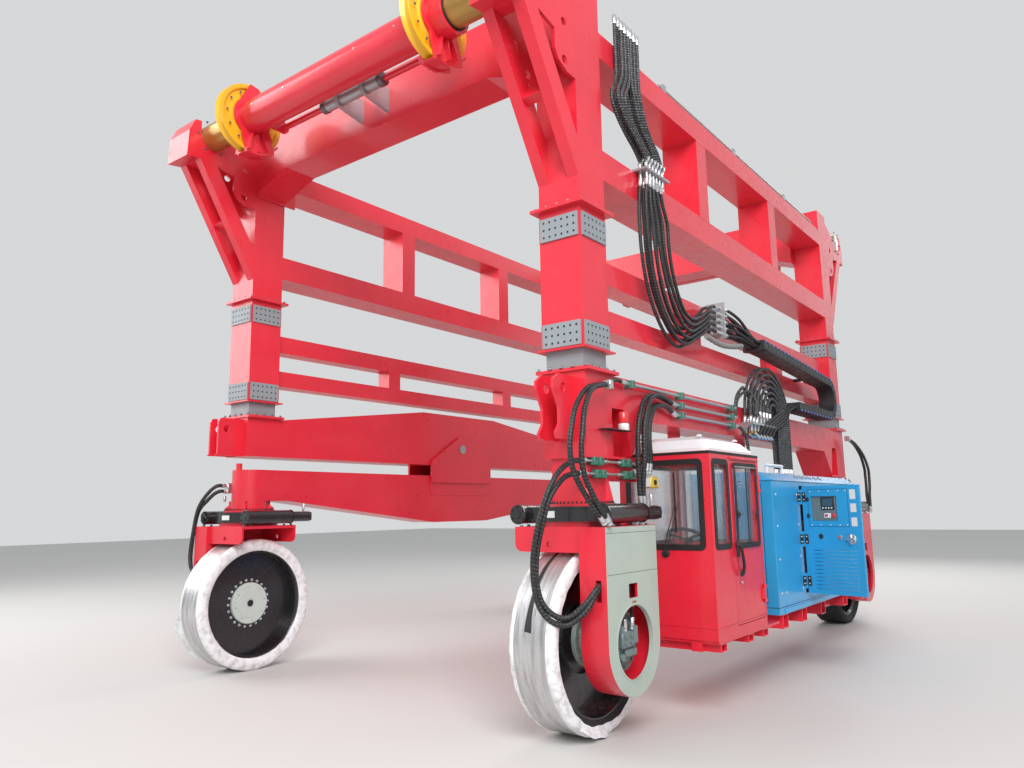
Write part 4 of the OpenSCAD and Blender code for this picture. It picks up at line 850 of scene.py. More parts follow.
def beam_hoses():
    """From the pipes' front ends: two down to the slewing drive, three to the column's clamps and box."""
    bunch = Shape(["hose_cover", "bright_steel"])
    for dx, dy in ((0.0, 0.0), (0.036, 0.034)):
        free = [(2.38, -2.45, 2.52), (2.4, -2.65, 2.48), (2.42, -2.78, 2.37), (2.43, -2.86, 2.2),
                (2.43, -2.88, 1.96)]
        hose(bunch, [(PIPE_X, -2.052, 2.482)] + [(x + dx, y + dy, z) for x, y,
                                                 z in free] + [(2.42 + dx * 0.6, y + dy * 0.6, z) for y,
                                                               z in ((-2.86, 1.74), (-2.85, 1.615))],
             GUARDED_R)
    for k in range(3):
        dy = 0.048 * k
        hose(bunch, [(PIPE_X, -2.052, 2.394), (2.37 + 0.006 * k, -2.25, 2.45),
                     (2.375 + 0.008 * k, -2.5 + 0.4 * dy, 2.425), (2.385, -2.66 + dy, 2.3),
                     (2.39, -2.7 + dy, 2.13), (2.385, -2.68 + dy, 1.99), (2.375, -2.7 + dy, 1.875)],
             GUARDED_R)
    hose(bunch, [(PIPE_X, -2.917, 2.57), (2.37, -3.06, 2.58), (2.395, -3.2, 2.545), (2.41, -3.265, 2.515)],
         end=False)
    bunch.make("beam_hoses", "base_right")


def pack_arches():
    """Seven pairs of hoses that rise from the bulkhead, arch over and go down into the power pack."""
    arches = Shape(["hose_guard", "bright_steel", "brass"])
    for x in BULKHEAD_X:
        for i in range(7):
            y0, y1 = BULKHEAD_Y + BULKHEAD_PITCH * i, 0.78 - 0.06 * i
            apex, z0 = 3.09 - 0.065 * i, 2.5153
            half = (y1 - y0) / 2
            foot = max(z0 + 0.01, apex - half)
            knots = [(x, y0, z0), (x, y0, (z0 + foot) / 2)] if foot > z0 + 0.03 else [(x, y0, z0)]
            for k in range(11):
                a = pi * k / 10
                knots.append((x, y0 + half * (1 - cos(a)), foot + (apex - foot) * sin(a)))
            hose(arches, knots + [(x, y1, (foot + 1.93) / 2), (x, y1, 1.935)], end=False)
            swivel(arches, (x, y1, 1.9115), Z, HOSE_R)
            arches.lathe((x, y0, 2.34), Z, [(0, 0.012), (0, 0.02), (0.022, 0.02), (0.022, 0.012)], 6, 2)
    return arches.make("pack_arches", "base_right")


# Routes of the leg hoses past the truss: (how far to the rear, height)
FRONT_ROUTE = [(0, 4.571), (0, 4.596), (-0.09, 4.675), (-0.23, 4.76), (-0.36, 4.86), (-0.44, 4.96),
               (-0.45, 5.06), (-0.39, 5.17), (-0.36, 5.28)]
REAR_ROUTE = [(0, 4.571), (0, 4.6), (-0.07, 4.72), (-0.19, 4.82), (-0.28, 4.93), (-0.33, 5.05), (-0.37, 5.17),
              (-0.38, 5.29)]


def leg_hose_set():
    """Six pairs from the upper plate's top, past the side truss, up to the top frame."""
    bundle = Shape(["hose_guard", "bright_steel"])
    for x, top in zip(PLATE_X, (5.79, 5.7)):
        for i in range(6):
            route = FRONT_ROUTE if i < 3 else REAR_ROUTE
            knots = [(x, PLATE_Y + PLATE_PITCH * i + y, z) for y, z in route]
            y, z = knots[-1][1:]
            hose(bundle, knots + [(x, y + 0.002, (z + top) / 2), (x, y, top - 0.004)], end=False, step=0.04)
            swivel(bundle, (x, y, top - 0.062), Z, HOSE_R)
    return bundle.make("leg_hose_set", "upper_frame")


beam_hoses()
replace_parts(pack_arches(), "pack_hoses")
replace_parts(leg_hose_set(), "leg_hoses")

# The hanging loop's two outer hoses: (y, z)
LOW_LEFT = [(-2.525, 4.43), (-2.553, 4.265), (-2.525, 4.052), (-2.496, 3.746), (-2.423, 3.499),
            (-2.312, 3.304), (-2.161, 3.162), (-1.966, 3.05), (-1.792, 3.045), (-1.59, 3.129),
            (-1.252, 3.286), (-1.1, 3.315), (-0.995, 3.318)]
LOW_RIGHT = [(-2.1, 4.43), (-2.055, 4.3), (-2.011, 4.121), (-1.988, 3.877), (-1.931, 3.692), (-1.843, 3.512),
             (-1.712, 3.385), (-1.52, 3.385), (-1.308, 3.485), (-1.131, 3.565), (-1.06, 3.572),
             (-0.995, 3.572)]


def resample(knots, count):
    """count points spread evenly along the knots' curve."""
    path = smooth([(0, y, z) for y, z in knots], 0.02)
    lengths = [0.0]
    for a, b in zip(path, path[1:]):
        lengths.append(lengths[-1] + (b - a).length)
    points, k = [], 0
    for i in range(count):
        goal = lengths[-1] * i / (count - 1)
        while k < len(path) - 2 and lengths[k + 1] < goal:
            k += 1
        t = (goal - lengths[k]) / (lengths[k + 1] - lengths[k])
        points.append(path[k].lerp(path[k + 1], min(1.0, t)))
    return points


def lift_loop():
    """The hanging loop between the upper and the middle plate, drawn in one pose."""
    loop = Shape(["hose_cover", "bright_steel"])
    left, right = resample(LOW_LEFT, 13), resample(LOW_RIGHT, 13)
    for k, (x0, x1) in enumerate(zip(PLATE_X, MID_PLATE_X)):
        for i in range(5):
            y0, z1 = PLATE_Y + PLATE_PITCH * i, MID_PLATE_Z + MID_PLATE_PITCH * i
            knots = []
            for j in range(13):
                s = j / 12
                swell = sin(pi * s)
                x = x0 * (1 - s) + x1 * s + 0.012 * sin(5.0 * i + 2 * k + 4.0 * s) * swell
                y, z = left[j].lerp(right[j], 0.2 * i).yz
                y += (0.045 * k - 0.012) * swell
                z += 0.03 * k * swell
                y += (y0 - y) * max(0.0, 1 - s * 6)
                z += (z1 - z) * max(0.0, 1 - (1 - s) * 6)
                knots.append((x, y, z))
            hose(loop, knots, step=0.045)
    loop.make("lift_loop", bend=("upper_frame", "mid_right", (2.38, -2.45, 4.25), (2.34, -1.25, 3.25)))


def chain_feed():
    """Hoses from the middle plate's rear fittings into the chain's upper end."""
    feed = Shape(["hose_cover", "bright_steel", "foam_grey"])
    for k, x in enumerate(MID_PLATE_X):
        for i in range(5):
            z = MID_PLATE_Z + MID_PLATE_PITCH * i
            x1 = 2.362 + 0.072 * k + 0.026 * (i % 3)
            z1 = 3.275 + 0.03 * (i // 2) + 0.008 * k
            hose(feed, [(x, -0.848, z), (x + 0.01, -0.72, z + 0.008),
                        ((x + x1) / 2, -0.52, (z + z1) / 2 + 0.035 + 0.006 * i), (x1, -0.32, z1 + 0.02),
                        (x1, -0.12, z1), (x1, 0.02, z1 - 0.004)], end=False, step=0.04)
    path = smooth([(2.44, -1.46, 3.185), (2.455, -1.2, 3.15), (2.45, -0.95, 3.165), (2.44, -0.7, 3.205),
                   (2.43, -0.55, 3.235)], 0.04)
    feed.tube(path, [0.026 + 0.003 * sin(9 * i) for i in range(len(path))], 14, 2)
    feed.make("chain_feed", "mid_right")


def chain_tail():
    """Hoses that leave the chain's lower end and spread to the bulkhead's fittings from below."""
    tail = Shape(["hose_cover", "bright_steel"])
    for k, x1 in enumerate(BULKHEAD_X):
        for i in range(5):
            x0 = 2.362 + 0.072 * k + 0.026 * (i % 3)
            y1 = BULKHEAD_Y + BULKHEAD_PITCH * (i + 1)
            z0 = 2.715 + 0.02 * (i % 2) + 0.012 * k
            hose(tail, [(x0, 1.00, z0), (x0, 0.86, z0 - 0.004),
                        (x0 * 0.6 + x1 * 0.4, 0.7 + 0.02 * i, z0 - 0.05),
                        (x1 + 0.025, 0.42 + 0.05 * i, 2.615 - 0.018 * i), (x1 + 0.032, y1 + 0.16, 2.42),
                        (x1 + 0.018, y1 + 0.05, 2.33 - 0.01 * k), (x1 + 0.002, y1, 2.345)], start=False,
                 step=0.04)
    tail.make("chain_tail", bend=("base_right", "mid_right", (2.4, 0.55, 2.6), (2.4, 0.88, 2.73)))


def pipe_loops():
    """Loops from the pipes' rear ends up and over to the first fittings on the bulkhead."""
    loops = Shape(["hose_guard", "bright_steel"])
    for k, z in enumerate((2.57, 2.482)):
        x1, top = BULKHEAD_X[k], 2.815 - 0.045 * k
        hose(loops, [(PIPE_X, -0.707, z), (2.362, -0.664, z + 0.025), (2.372, -0.615, top - 0.1),
                     (2.385 + 0.02 * k, -0.5, top - 0.01), (x1, -0.385, top), (x1 + 0.002, -0.3, top - 0.055),
                     (x1 + 0.03, -0.262 - 0.03 * k, 2.68), (x1 + 0.033, -0.33, 2.575),
                     (x1 + 0.031, -0.352, 2.52)], end=False, step=0.03)
    hose(loops, [(PIPE_X, -0.707, 2.394), (2.375, -0.62, 2.392), (2.4, -0.54, 2.33), (2.41, -0.5, 2.2),
                 (2.41, -0.5, 2.05), (2.41, -0.5, 1.945)], step=0.03)
    loops.make("pipe_loops", "base_right")


# Drag chain: black link plates and crossbars, with painted blue reflection at the plates' top edges

CHAIN_FRONT, CHAIN_REAR, CHAIN_TAIL = -0.18, 2.19, 0.9
LINK_OUTLINE = [(-0.064, -0.02), (-0.052, -0.046), (0.036, -0.046), (0.062, -0.03), (0.066, 0.0),
                (0.062, 0.03), (0.036, 0.046), (-0.052, 0.046), (-0.064, 0.02)]


def chain_links():
    links = Shape(["dark_plastic", "chain_blue_reflection", "bolt_steel"])

    def link(y, z, angle):
        """A link's two side plates and its crossbar, centred at y, z and turned by angle about X."""
        links.place = Matrix.Translation((0, y, z)) @ Matrix.Rotation(angle, 4, "X")
        for x0, x1 in ((2.3335, 2.3375), (2.5325, 2.5365)):
            links.plate([LINK_OUTLINE], "x", x0, x1 - x0)
            links.rod((x0 - 0.001, 0.036, 0), (x1 + 0.001, 0.036, 0), 0.013, 12, 2)
        links.block((2.336, -0.016, 0.0495), (2.534, 0.016, 0.054), 0, 0.0015)
        # blue pads at the top of each side plate: painted reflection
        for x0 in (2.5345, 2.3315):
            links.block((x0, -0.014, 0.03), (x0 + 0.004, 0.014, 0.0535), 1, 0.001)

    slope = atan2(-0.125, CHAIN_REAR - CHAIN_FRONT)
    for i in range(20):
        t = (i + 0.5) / 20
        link(CHAIN_FRONT + (CHAIN_REAR - CHAIN_FRONT) * t, 3.3 - 0.125 * t, slope)
    for i in range(6):
        a = radians(90 - 30 * (i + 0.5))
        link(CHAIN_REAR + 0.22 * cos(a), 2.955 + 0.22 * sin(a), a - pi / 2)
    for i in range(11):
        link(CHAIN_REAR - (CHAIN_REAR - CHAIN_TAIL) * (i + 0.5) / 11, 2.735, pi)
    links.make("chain_links", "mid_right", soft=30.0)


lift_loop()
chain_feed()
chain_tail()
pipe_loops()
chain_links()


# Driver's cab: window frames, trims, latches, wiper

def frame_ring(shape, normal, at, depth, x0, y0, x1, y1, width):
    """A round-cornered frame between the outline and one width further in."""
    shape.plate([rounded(x0, y0, x1, y1, 0.045), rounded(x0 + width, y0 + width, x1 - width, y1 - width,
                                                         0.045 - width * 0.6)], normal, at, depth)


def cab_trim():
    trim = Shape(["gasket", "red_paint", "bright_steel", "white_plastic", "weld_red"])
    low, high = CAB_WINDOW
    # black seals round the panes
    for normal, at, first, last in (("y", CAB_Y0 - 0.0045, 2.105, 2.79), ("y", CAB_Y1 - 0.0005, 2.105, 2.79),
                                    ("x", CAB_X1 - 0.0005, -2.47, -2.145),
                                    ("x", CAB_X0 - 0.0045, -2.47, -1.52)):
        frame_ring(trim, normal, at, 0.005, first, low - 0.015, last, high + 0.015, 0.045)
    # gasket under the roof cap and seam near the sill on the four sides, rain gutter over the door
    x0, y0, x1, y1 = CAB_X0 - 0.004, CAB_Y0 - 0.004, CAB_X1 + 0.004, CAB_Y1 + 0.004
    for a, b in (((x0, y0), (x1, CAB_Y0)), ((x0, CAB_Y1), (x1, y1)), ((CAB_X1, CAB_Y0), (x1, CAB_Y1)),
                 ((x0, CAB_Y0), (CAB_X0, CAB_Y1))):
        trim.block((*a, 2.012), (*b, 2.034), 0, 0.001)
        trim.block((*a, CAB_Z0 + 0.093), (*b, CAB_Z0 + 0.098), 4, 0.0008)
    trim.block((CAB_X1, -2.125, 1.985), (CAB_X1 + 0.016, -1.48, 1.995), 1, 0.002)
    # wear strips on the corners
    for y in (CAB_Y0 + 0.0035, CAB_Y1 - 0.0035):
        trim.rod((CAB_X1 - 0.0035, y, CAB_Z0 + 0.06), (CAB_X1 - 0.0035, y, 2.01), 0.0058, 10, 1)
    # wiper on the front pane: two parallel arms, a blade and its motor cover
    for shift in (0.0, 0.028):
        trim.tube([(2.43 + shift, CAB_Y0 - 0.018, 1.245), (2.49 + shift, CAB_Y0 - 0.03, 1.42),
                   (2.555 + shift, CAB_Y0 - 0.022, 1.63)], 0.0038, 6)
    trim.block((2.54, CAB_Y0 - 0.018, 1.395), (2.556, CAB_Y0 - 0.006, 1.875), 0, 0.003)
    trim.lathe((2.444, CAB_Y0, 1.235), -Y, [(0, 0.034), (0.014, 0.032), (0.022, 0.018), (0.022, 0)], 20)
    # lifting eyes on the roof cap
    for x in (CAB_X0 + 0.14, CAB_X1 - 0.14):
        for y in (CAB_Y0 + 0.15, CAB_Y1 - 0.15):
            trim.lathe((x, y, 2.16), Z, [(0, 0.026), (0.01, 0.026), (0.014, 0.016), (0.018, 0.013),
                                         (0.018, 0)], 16, 3)
    trim.make("cab_trim", "base_right")


def cab_door_trim():
    """The door's seal, latches, rail, lever and lock, drawn from its outer face."""
    door = Shape(["gasket", "red_paint", "bright_steel", "bolt_steel", "dark_plastic"],
                 Matrix.Translation((CAB_X1 + 0.0125, 0, 0)))
    frame_ring(door, "x", 0, 0.004, -2.065, 1.254, -1.545, 1.956, 0.042)
    # sliding pane's edge, its two latches and the rail over it
    door.block((0, -1.812, 1.285), (0.004, -1.792, 1.925), 0, 0.001)
    for y in (-2.02, -1.612):
        door.block((0.003, y - 0.015, 1.5), (0.014, y + 0.015, 1.56), 4, 0.004)
        door.rod((0.012, y, 1.53), (0.026, y, 1.53), 0.011, 12, 4)
    door.block((0.003, -2.04, 1.917), (0.007, -1.57, 1.924), 2, 0.001)
    # lever handle on its plate, with the lock under it
    door.block((0, -2.092, 1.19), (0.016, -2.052, 1.315), 4, 0.005)
    door.tube(smooth([(0.014, -2.075, 1.29), (0.034, -2.072, 1.27), (0.04, -2.062, 1.2), (0.038, -2.04, 1.12),
                      (0.02, -2.025, 1.055)], 0.02), 0.0125)
    door.block((0, -2.045, 1.035), (0.022, -2.01, 1.085), 4, 0.006)
    door.lathe((0, -2.012, 0.985), X, [(0, 0.012), (0.006, 0.012), (0.008, 0.008), (0.008, 0)], 16, 2)
    door.make("cab_door_trim", "cab_door")


cab_trim()
cab_door_trim()


# Power pack: door details, labels, plugs, fittings on the lid

HINGE_HEIGHTS = (0.825, 1.2225, 1.63)


def white_screws(shape, places, axis, look, radius=0.0105):
    for place in places:
        shape.lathe(place, axis, [(0, radius), (0.0025, radius), (0.0042, radius * 0.7),
                                  (0.0036, radius * 0.3), (0.0036, 0)], 12, look)


def pack_trim():
    trim = Shape(["gasket", "bright_steel", "label_white", "white_plastic", "blue_paint", "dark_plastic"])
    x = PACK_X1
    # folded sheet that squares the front corner
    trim.plate([[(x - 0.131, PACK_Y0 - 0.0004), (x - 0.004, PACK_Y0 - 0.0004), (x + 0.0004, PACK_Y0 + 0.004),
                 (x + 0.0004, PACK_Y0 + 0.131), (x - 0.0415, PACK_Y0 + 0.0415)]], "z", PACK_Z0 + 0.001, 1.203,
               4)
    # lid seam and base seam on the end and the outer side, panel seams on the end
    for z in (1.822, PACK_Z0 + 0.06):
        trim.block((2.1, PACK_Y0 - 0.0025, z), (x + 0.001, PACK_Y0 + 0.001, z + 0.005), 0, 0.001)
        trim.block((x - 0.001, PACK_Y0 + 0.001, z), (x + 0.0025, PACK_Y1 - 0.02, z + 0.005), 0, 0.001)
    for x0, z0, x1, z1 in ((2.745, PACK_Z0 + 0.1, 2.749, 1.79), (2.18, 1.79, 2.749, 1.794),
                           (2.18, PACK_Z0 + 0.1, 2.749, PACK_Z0 + 0.104)):
        trim.block((x0, PACK_Y0 - 0.0025, z0), (x1, PACK_Y0 + 0.001, z1), 0, 0.001)
    # stepped base on the outer side, and the ledge over it
    trim.block((x - 0.004, PACK_Y0 + 0.13, PACK_Z0 + 0.0005), (x + 0.012, PACK_Y1 - 0.03, PACK_Z0 + 0.044), 4,
               0.003)
    trim.block((x - 0.004, PACK_Y0 + 0.19, PACK_Z0 + 0.066), (x + 0.006, PACK_Y1 - 0.1, PACK_Z0 + 0.082), 4,
               0.002)
    heights = (1.7, 1.41, 1.11, 0.81)
    white_screws(trim, [(across, PACK_Y0, z) for across in (2.715, 2.2) for z in heights], -Y, 3)
    white_screws(trim, [(x, y, z) for y in (-1.05, -0.45, 0.42, 1.1, 1.78) for z in heights], X, 3)
    # ring lock low on the side
    trim.ring((x, -0.924, 0.803), X, 0.012, 0.019, 0.005, 20, 1)
    trim.bolt((x, -0.924, 0.803), X, 0.008, 0.005, 1)
    # black hinge halves with white screws and the door's gap
    trim.block((x + 0.0002, -0.3725, 0.752), (x + 0.0025, -0.3605, 1.783), 0, 0.0008)
    for z in HINGE_HEIGHTS:
        trim.block((x + 0.0002, -0.437, z), (x + 0.0065, -0.374, z + 0.09), 5, 0.002)
        white_screws(trim, [(x + 0.0065, y, z + h) for y in (-0.422, -0.392) for h in (0.02, 0.07)], X, 3,
                     0.006)
    # white tube over the lid's handle, clips along the lid's edge
    trim.tube(smooth([(2.59, -0.526, 1.998), (2.59, -0.4, 1.9985), (2.59, -0.18, 1.9985),
                      (2.59, -0.054, 1.998)], 0.05), 0.0172, 14, 3)
    for y in (-0.51, -0.07):
        trim.rod((2.59, y, PACK_Z1), (2.59, y, 1.998), 0.0172, 14, 3)
        trim.lathe((2.59, y, PACK_Z1), Z, [(0, 0.032), (0.006, 0.032), (0.008, 0.018), (0.008, 0.017)], 18, 3)
    for y in (-0.2, -0.06, 0.08, 0.22, 0.4, 0.58):
        trim.block((2.752, y, 1.872), (2.776, y + 0.034, 1.897), 1, 0.004)
        trim.block((2.772, y + 0.01, 1.855), (2.8, y + 0.024, 1.88), 1, 0.003)
    # fittings and caps on the lid
    for px, py, r in ((2.3, -0.98, 0.032), (2.52, -0.92, 0.024), (2.28, 1.3, 0.04)):
        trim.lathe((px, py, PACK_Z1), Z, [(0, r), (0.012, r), (0.014, r * 0.7), (0.034, r * 0.66),
                                          (0.038, r * 0.55), (0.038, 0)], 20, 1)
    trim.bolt((2.545, -0.98, PACK_Z1), Z, 0.016, 0.018, 1)
    trim.make("pack_trim", "base_right")


def pack_door_trim():
    """The door's details in its own frame: its hinge line, turned as parked."""
    place = Matrix.Translation((2.863, -0.358, 0)) @ Matrix.Rotation(radians(-105), 4, "Z")
    door = Shape(["gasket", "bright_steel", "label_white", "screen", "blue_paint", "dark_plastic", "lamp_red",
                  "motor_grey", "white_plastic"], place)
    face = 0.009
    for z in HINGE_HEIGHTS:
        door.block((face, 0.018, z), (face + 0.005, 0.056, z + 0.09), 5, 0.002)
        white_screws(door, [(face + 0.005, 0.037, z + h) for h in (0.02, 0.07)], X, 8, 0.006)
    # seam of the panel over the control box, with its white screws
    for y0, y1, z0, z1 in ((0.075, 0.49, 1.742, 1.745), (0.075, 0.49, 1.388, 1.391),
                           (0.075, 0.078, 1.388, 1.745), (0.487, 0.49, 1.388, 1.745)):
        door.block((face - 0.0005, y0, z0), (face + 0.0012, y1, z1), 0, 0.0005)
    white_screws(door, [(face, y, z) for y in (0.105, 0.2, 0.3, 0.395, 0.47) for z in (1.728, 1.405)], X, 8,
                 0.0055)
    # control box in the recess: lining, bezel, screen, keys, small panel with its lamp, red stop button
    for low, high, look, cut in (((-0.0055, 0.108, 1.446), (-0.0035, 0.372, 1.676), 7, 0.0008),
                                 ((-0.004, 0.205, 1.548), (0.003, 0.345, 1.668), 5, 0.004),
                                 ((0.0028, 0.222, 1.585), (0.0042, 0.328, 1.655), 3, 0.001),
                                 ((-0.004, 0.232, 1.472), (0.001, 0.302, 1.516), 8, 0.002),
                                 ((0.0008, 0.24, 1.482), (0.0022, 0.272, 1.506), 6, 0.001)):
        door.block(low, high, look, cut)
    for i in range(4):
        door.lathe((0.003, 0.228 + 0.03 * i, 1.566), X,
                   [(0, 0.008), (0.003, 0.008), (0.004, 0.006), (0.004, 0)], 12, 8)
    door.lathe((-0.004, 0.335, 1.494), X, [(0, 0.016), (0.008, 0.016), (0.012, 0.02), (0.014, 0.018),
                                           (0.014, 0)], 18, 6)
    # black latches beside the hinges, plug, button and the chrome lock
    for z in (1.635, 1.475):
        door.block((face, 0.062, z), (face + 0.012, 0.09, z + 0.036), 5, 0.004)
    door.lathe((face, 0.19, 1.296), X, [(0, 0.024), (0.004, 0.024), (0.005, 0.019), (0.002, 0.016),
                                        (0.002, 0)], 24, 5)
    door.lathe((face, 0.385, 1.29), X, [(0, 0.024), (0.006, 0.022), (0.008, 0.016), (0.008, 0)], 20, 1)
    door.lathe((face + 0.008, 0.385, 1.29), X, [(0, 0.011), (0.005, 0.01), (0.006, 0)], 14, 6)
    door.lathe((face, 0.5, 1.275), X, [(0, 0.046), (0.006, 0.046), (0.01, 0.04), (0.01, 0.026), (0.02, 0.022),
                                       (0.02, 0)], 28, 1)
    door.block((face + 0.018, 0.452, 1.262), (face + 0.028, 0.548, 1.286), 1, 0.004)
    door.block((face + 0.018, 0.49, 1.225), (face + 0.026, 0.512, 1.325), 1, 0.004)
    # blank labels and louvre lips
    for z0, z1 in ((1.645, 1.735), (1.525, 1.605), (1.395, 1.475)):
        door.block((face, 0.512, z0), (face + 0.001, 0.568, z1), 2, 0.0003)
    for i in range(11):
        z = 0.8 + 0.036 * i
        door.block((face - 0.003, 0.108, z + 0.0045), (face + 0.0045, 0.542, z + 0.015), 4, 0.002)
    door.make("pack_door_trim", "pack_door")


pack_trim()
pack_door_trim()


# Pipes' clamps, switch boxes, lamps and small fittings on the right base beam

def beam_fittings():
    parts = Shape(["clamp_green", "bolt_steel", "switch_yellow", "white_plastic", "lamp_red", "lens_white",
                   "dark_plastic", "bright_steel", "red_paint"])
    # green clamp shells over the pipes' clamps on the beam; only the top pipe reaches the front one
    for y, heights in ((-2.86, (2.57,)), (-1.96, (2.57, 2.482, 2.394)), (-0.8, (2.57, 2.482, 2.394))):
        for z in heights:
            parts.block((2.3152, y - 0.0015, z - 0.0315), (2.3965, y + 0.0515, z + 0.0315), 0, 0.006)
            for dz in (-0.019, 0.019):
                parts.bolt((2.3965, y + 0.025, z + dz), X, 0.0065, 0.006, 1)
    # two groups of clamps on the column, their plate and the pipes through them
    parts.block((2.2615, -3.4, 1.8), (2.2715, -2.72, 1.995), 8, 0.003)
    for z, ys in ((1.945, (-3.335, -3.25, -2.905, -2.82)), (1.85, (-3.3, -3.215, -2.87, -2.785))):
        for y in ys:
            parts.block((2.2715, y - 0.028, z - 0.032), (2.33, y + 0.028, z + 0.032), 0, 0.006)
            parts.bolt((2.33, y, z + 0.014), X, 0.0065, 0.006, 1)
        parts.rod((2.303, -3.47, z), (2.303, -2.7, z), 0.0105, 14, 7)
        for y in (-3.455, -3.16, -2.96, -2.72):
            parts.lathe((2.303, y, z), Y, [(-0.018, 0.012), (-0.018, 0.0175), (0.018, 0.0175),
                                           (0.018, 0.012)], 6, 7)
    for y in (-2.7, -2.652, -2.604):
        parts.rod((2.35, y, 1.842), (2.35, y, 1.88), 0.014, 6, 7)
    # switch box beside the second group
    parts.block((2.322, -2.717, 1.757), (2.382, -2.6, 1.838), 3, 0.006)
    parts.block((2.318, -2.6, 1.752), (2.388, -2.47, 1.842), 2, 0.008)
    parts.lathe((2.388, -2.535, 1.797), X, [(0, 0.022), (0.008, 0.02), (0.012, 0.012), (0.012, 0)], 18, 6)
    parts.rod((2.35, -2.66, 1.757), (2.35, -2.66, 1.725), 0.011, 12, 7)
    parts.block((2.262, -2.73, 1.8), (2.322, -2.7, 1.83), 8, 0.003)
    # warning lamp on its bracket
    parts.block((2.314, -3.27, 2.184), (2.404, -2.905, 2.19), 6, 0.0015)
    parts.lathe((2.36, -2.965, 2.19), Z, [(0, 0.04), (0.006, 0.044), (0.05, 0.044), (0.056, 0.041),
                                          (0.056, 0.0)], 24, 5)
    parts.lathe((2.36, -2.965, 2.246), Z, [(0, 0.043), (0.006, 0.045), (0.078, 0.042), (0.094, 0.03),
                                           (0.098, 0.0)], 24, 4)
    parts.make("beam_fittings", "base_right")


beam_fittings()


# Top frame: shaft seals, lugs, cylinder glands, trusses' weld seams

def top_fittings(end):
    fit = Shape(["bolt_steel", "gasket", "primer_paint", "brass", "bright_steel", "red_paint"],
                corner("right", end))
    for sign in (1, -1):
        for x, way in ((1.9345, -sign), (2.3155, sign)):
            for y, z in around(6, 0.175):
                fit.bolt((sign * x, SHAFT_Y + y, SHAFT_Z + z), (way, 0, 0), 0.01, 0.01)
        fit.lathe((sign * 2.3005, SHAFT_Y, SHAFT_Z), (sign, 0, 0),
                  [(0, 0.12), (0.01, 0.12), (0.014, 0.112), (0.014, 0.03), (0.008, 0.026), (0.008, 0)], 40, 4)
    # barrel heads and rod glands of the shift cylinder
    for sign in (1, -1):
        fit.lathe((sign * 0.425, -LEG_Y - 0.47, 5.53), (sign, 0, 0),
                  [(-0.06, 0.0555), (-0.055, 0.062), (0.0, 0.062), (0.006, 0.05), (0.012, 0.036),
                   (0.012, 0.031)])
    # blocks and lifting lugs on the cross beam's top
    for x in (-1.35, 1.35):
        fit.plate([[(x - 0.07, 5.83), (x + 0.07, 5.83), (x + 0.045, 5.905), (x - 0.045, 5.905)],
                   circle(x, 5.868, 0.018, 16)], "y", -LEG_Y - 0.01, 0.02, 5)
    fit.make(f"top_fittings_{end}", "upper_frame")


def carriage_trim(end):
    """Seals at the tube's ends and grease plugs."""
    trim = Shape(["gasket", "bright_steel"], corner("right", end))
    low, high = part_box(f"carriage_{end}")
    for x, face in ((low[0], -1), (high[0], 1)):
        trim.lathe((x, SHAFT_Y, SHAFT_Z), (face, 0, 0),
                   [(-0.002, 0.1415), (-0.002, 0.158), (0.008, 0.155), (0.01, 0.148), (0.01, 0.1415)], 40)
    for x in (-1.0, -0.5, 0.5, 1.0):
        trim.bolt((x, SHAFT_Y - 0.165, SHAFT_Z), -Y, 0.008, 0.008, 1)
    trim.make(f"carriage_trim_{end}", f"carriage_{end}")


def sheave_trim(end, side):
    trim = Shape(["sheave_yellow", "bolt_steel"], corner(side, end))
    for face in (1, -1):
        x = 1.3 + face * 0.045
        trim.ring((x - 0.001 * face, SHAFT_Y, SHAFT_Z), (face, 0, 0), 0.318, 0.35, 0.004, 64)
        for y, z in around(12, 0.272):
            trim.bolt((x, SHAFT_Y + y, SHAFT_Z + z), (face, 0, 0), 0.009, 0.007, 1)
    trim.make(f"sheave_trim_{end}_{side}", f"sheave_{end}_{side}")


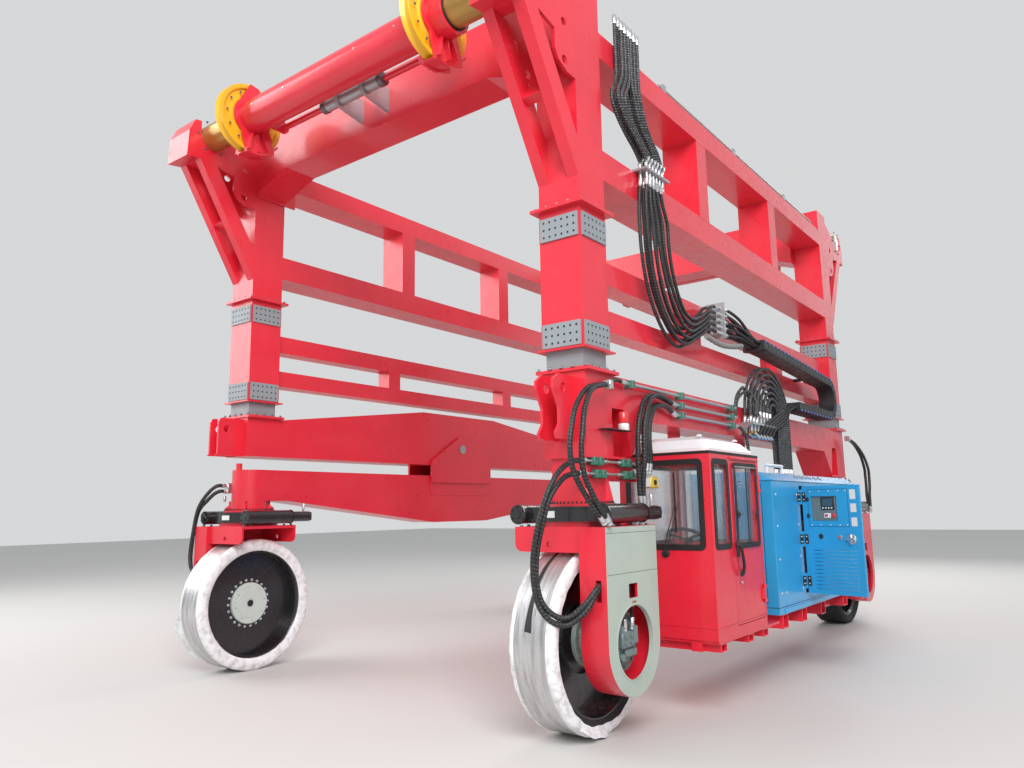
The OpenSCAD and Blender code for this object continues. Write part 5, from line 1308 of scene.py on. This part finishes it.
def truss_welds(name, body, side, x, post_y, half, chords):
    """Weld seams round each post of a side's truss, where it meets the chords."""
    seams = Shape(["weld_red"], corner(side, "front"))
    for post in (-post_y, post_y):
        for z in chords:
            for y in (post - half, post + half):
                seams.rod((x - 0.18, y, z), (x, y, z), 0.005, 6)
            seams.rod((x - 0.002, post - half, z), (x - 0.002, post + half, z), 0.005, 6)
    seams.make(f"{name}_welds_{side}", body)


for end in ENDS:
    top_fittings(end)
    carriage_trim(end)
    for side in SIDES:
        sheave_trim(end, side)
for side in SIDES:
    truss_welds("mid_truss", f"mid_{side}", side, 2.225, 1.2, 0.1, (3.185, 3.4))
    truss_welds("side_truss", "upper_frame", side, 2.315, 1.04, 0.115, (4.49, 5.32))


# Floor, backdrop and light

def make_stage():
    bpy.ops.mesh.primitive_plane_add(size=90.0, location=(0.0, 0.0, -0.003))
    floor = bpy.context.object
    floor.name = "floor"
    mat, tree, bsdf = shader("floor_pale", (0.6, 0.59, 0.57), 0.75)
    floor.data.materials.append(mat)

    world = bpy.data.worlds.new("studio")
    bpy.context.scene.world = world
    world.use_nodes = True
    tree = world.node_tree
    background = tree.nodes["Background"]
    background.inputs["Strength"].default_value = 0.75
    path = tree.nodes.new("ShaderNodeLightPath")
    mix = tree.nodes.new("ShaderNodeMix")
    mix.data_type = "RGBA"
    mix.inputs["A"].default_value = (0.8, 0.82, 0.85, 1.0)
    mix.inputs["B"].default_value = (0.9, 0.91, 0.92, 1.0)
    tree.links.new(path.outputs["Is Camera Ray"], mix.inputs["Factor"])
    tree.links.new(mix.outputs["Result"], background.inputs["Color"])

    def lamp(name, place, target, size, power):
        data = bpy.data.lights.new(name, "AREA")
        data.size = size
        data.energy = power
        obj = bpy.data.objects.new(name, data)
        obj.location = place
        obj.rotation_mode = "QUATERNION"
        obj.rotation_quaternion = (Vector(target) - Vector(place)).to_track_quat("-Z", "Y")
        bpy.context.collection.objects.link(obj)

    lamp("key", (10.0, -12.0, 11.0), (0.5, -1.0, 2.0), 8.0, 2200.0)
    lamp("fill", (-11.0, -8.0, 8.0), (0.0, 0.0, 2.5), 9.0, 1000.0)
    lamp("back", (0.0, 13.0, 10.0), (0.0, 0.0, 3.0), 8.0, 900.0)


make_stage()
bpy.context.scene.view_settings.view_transform = "Standard"
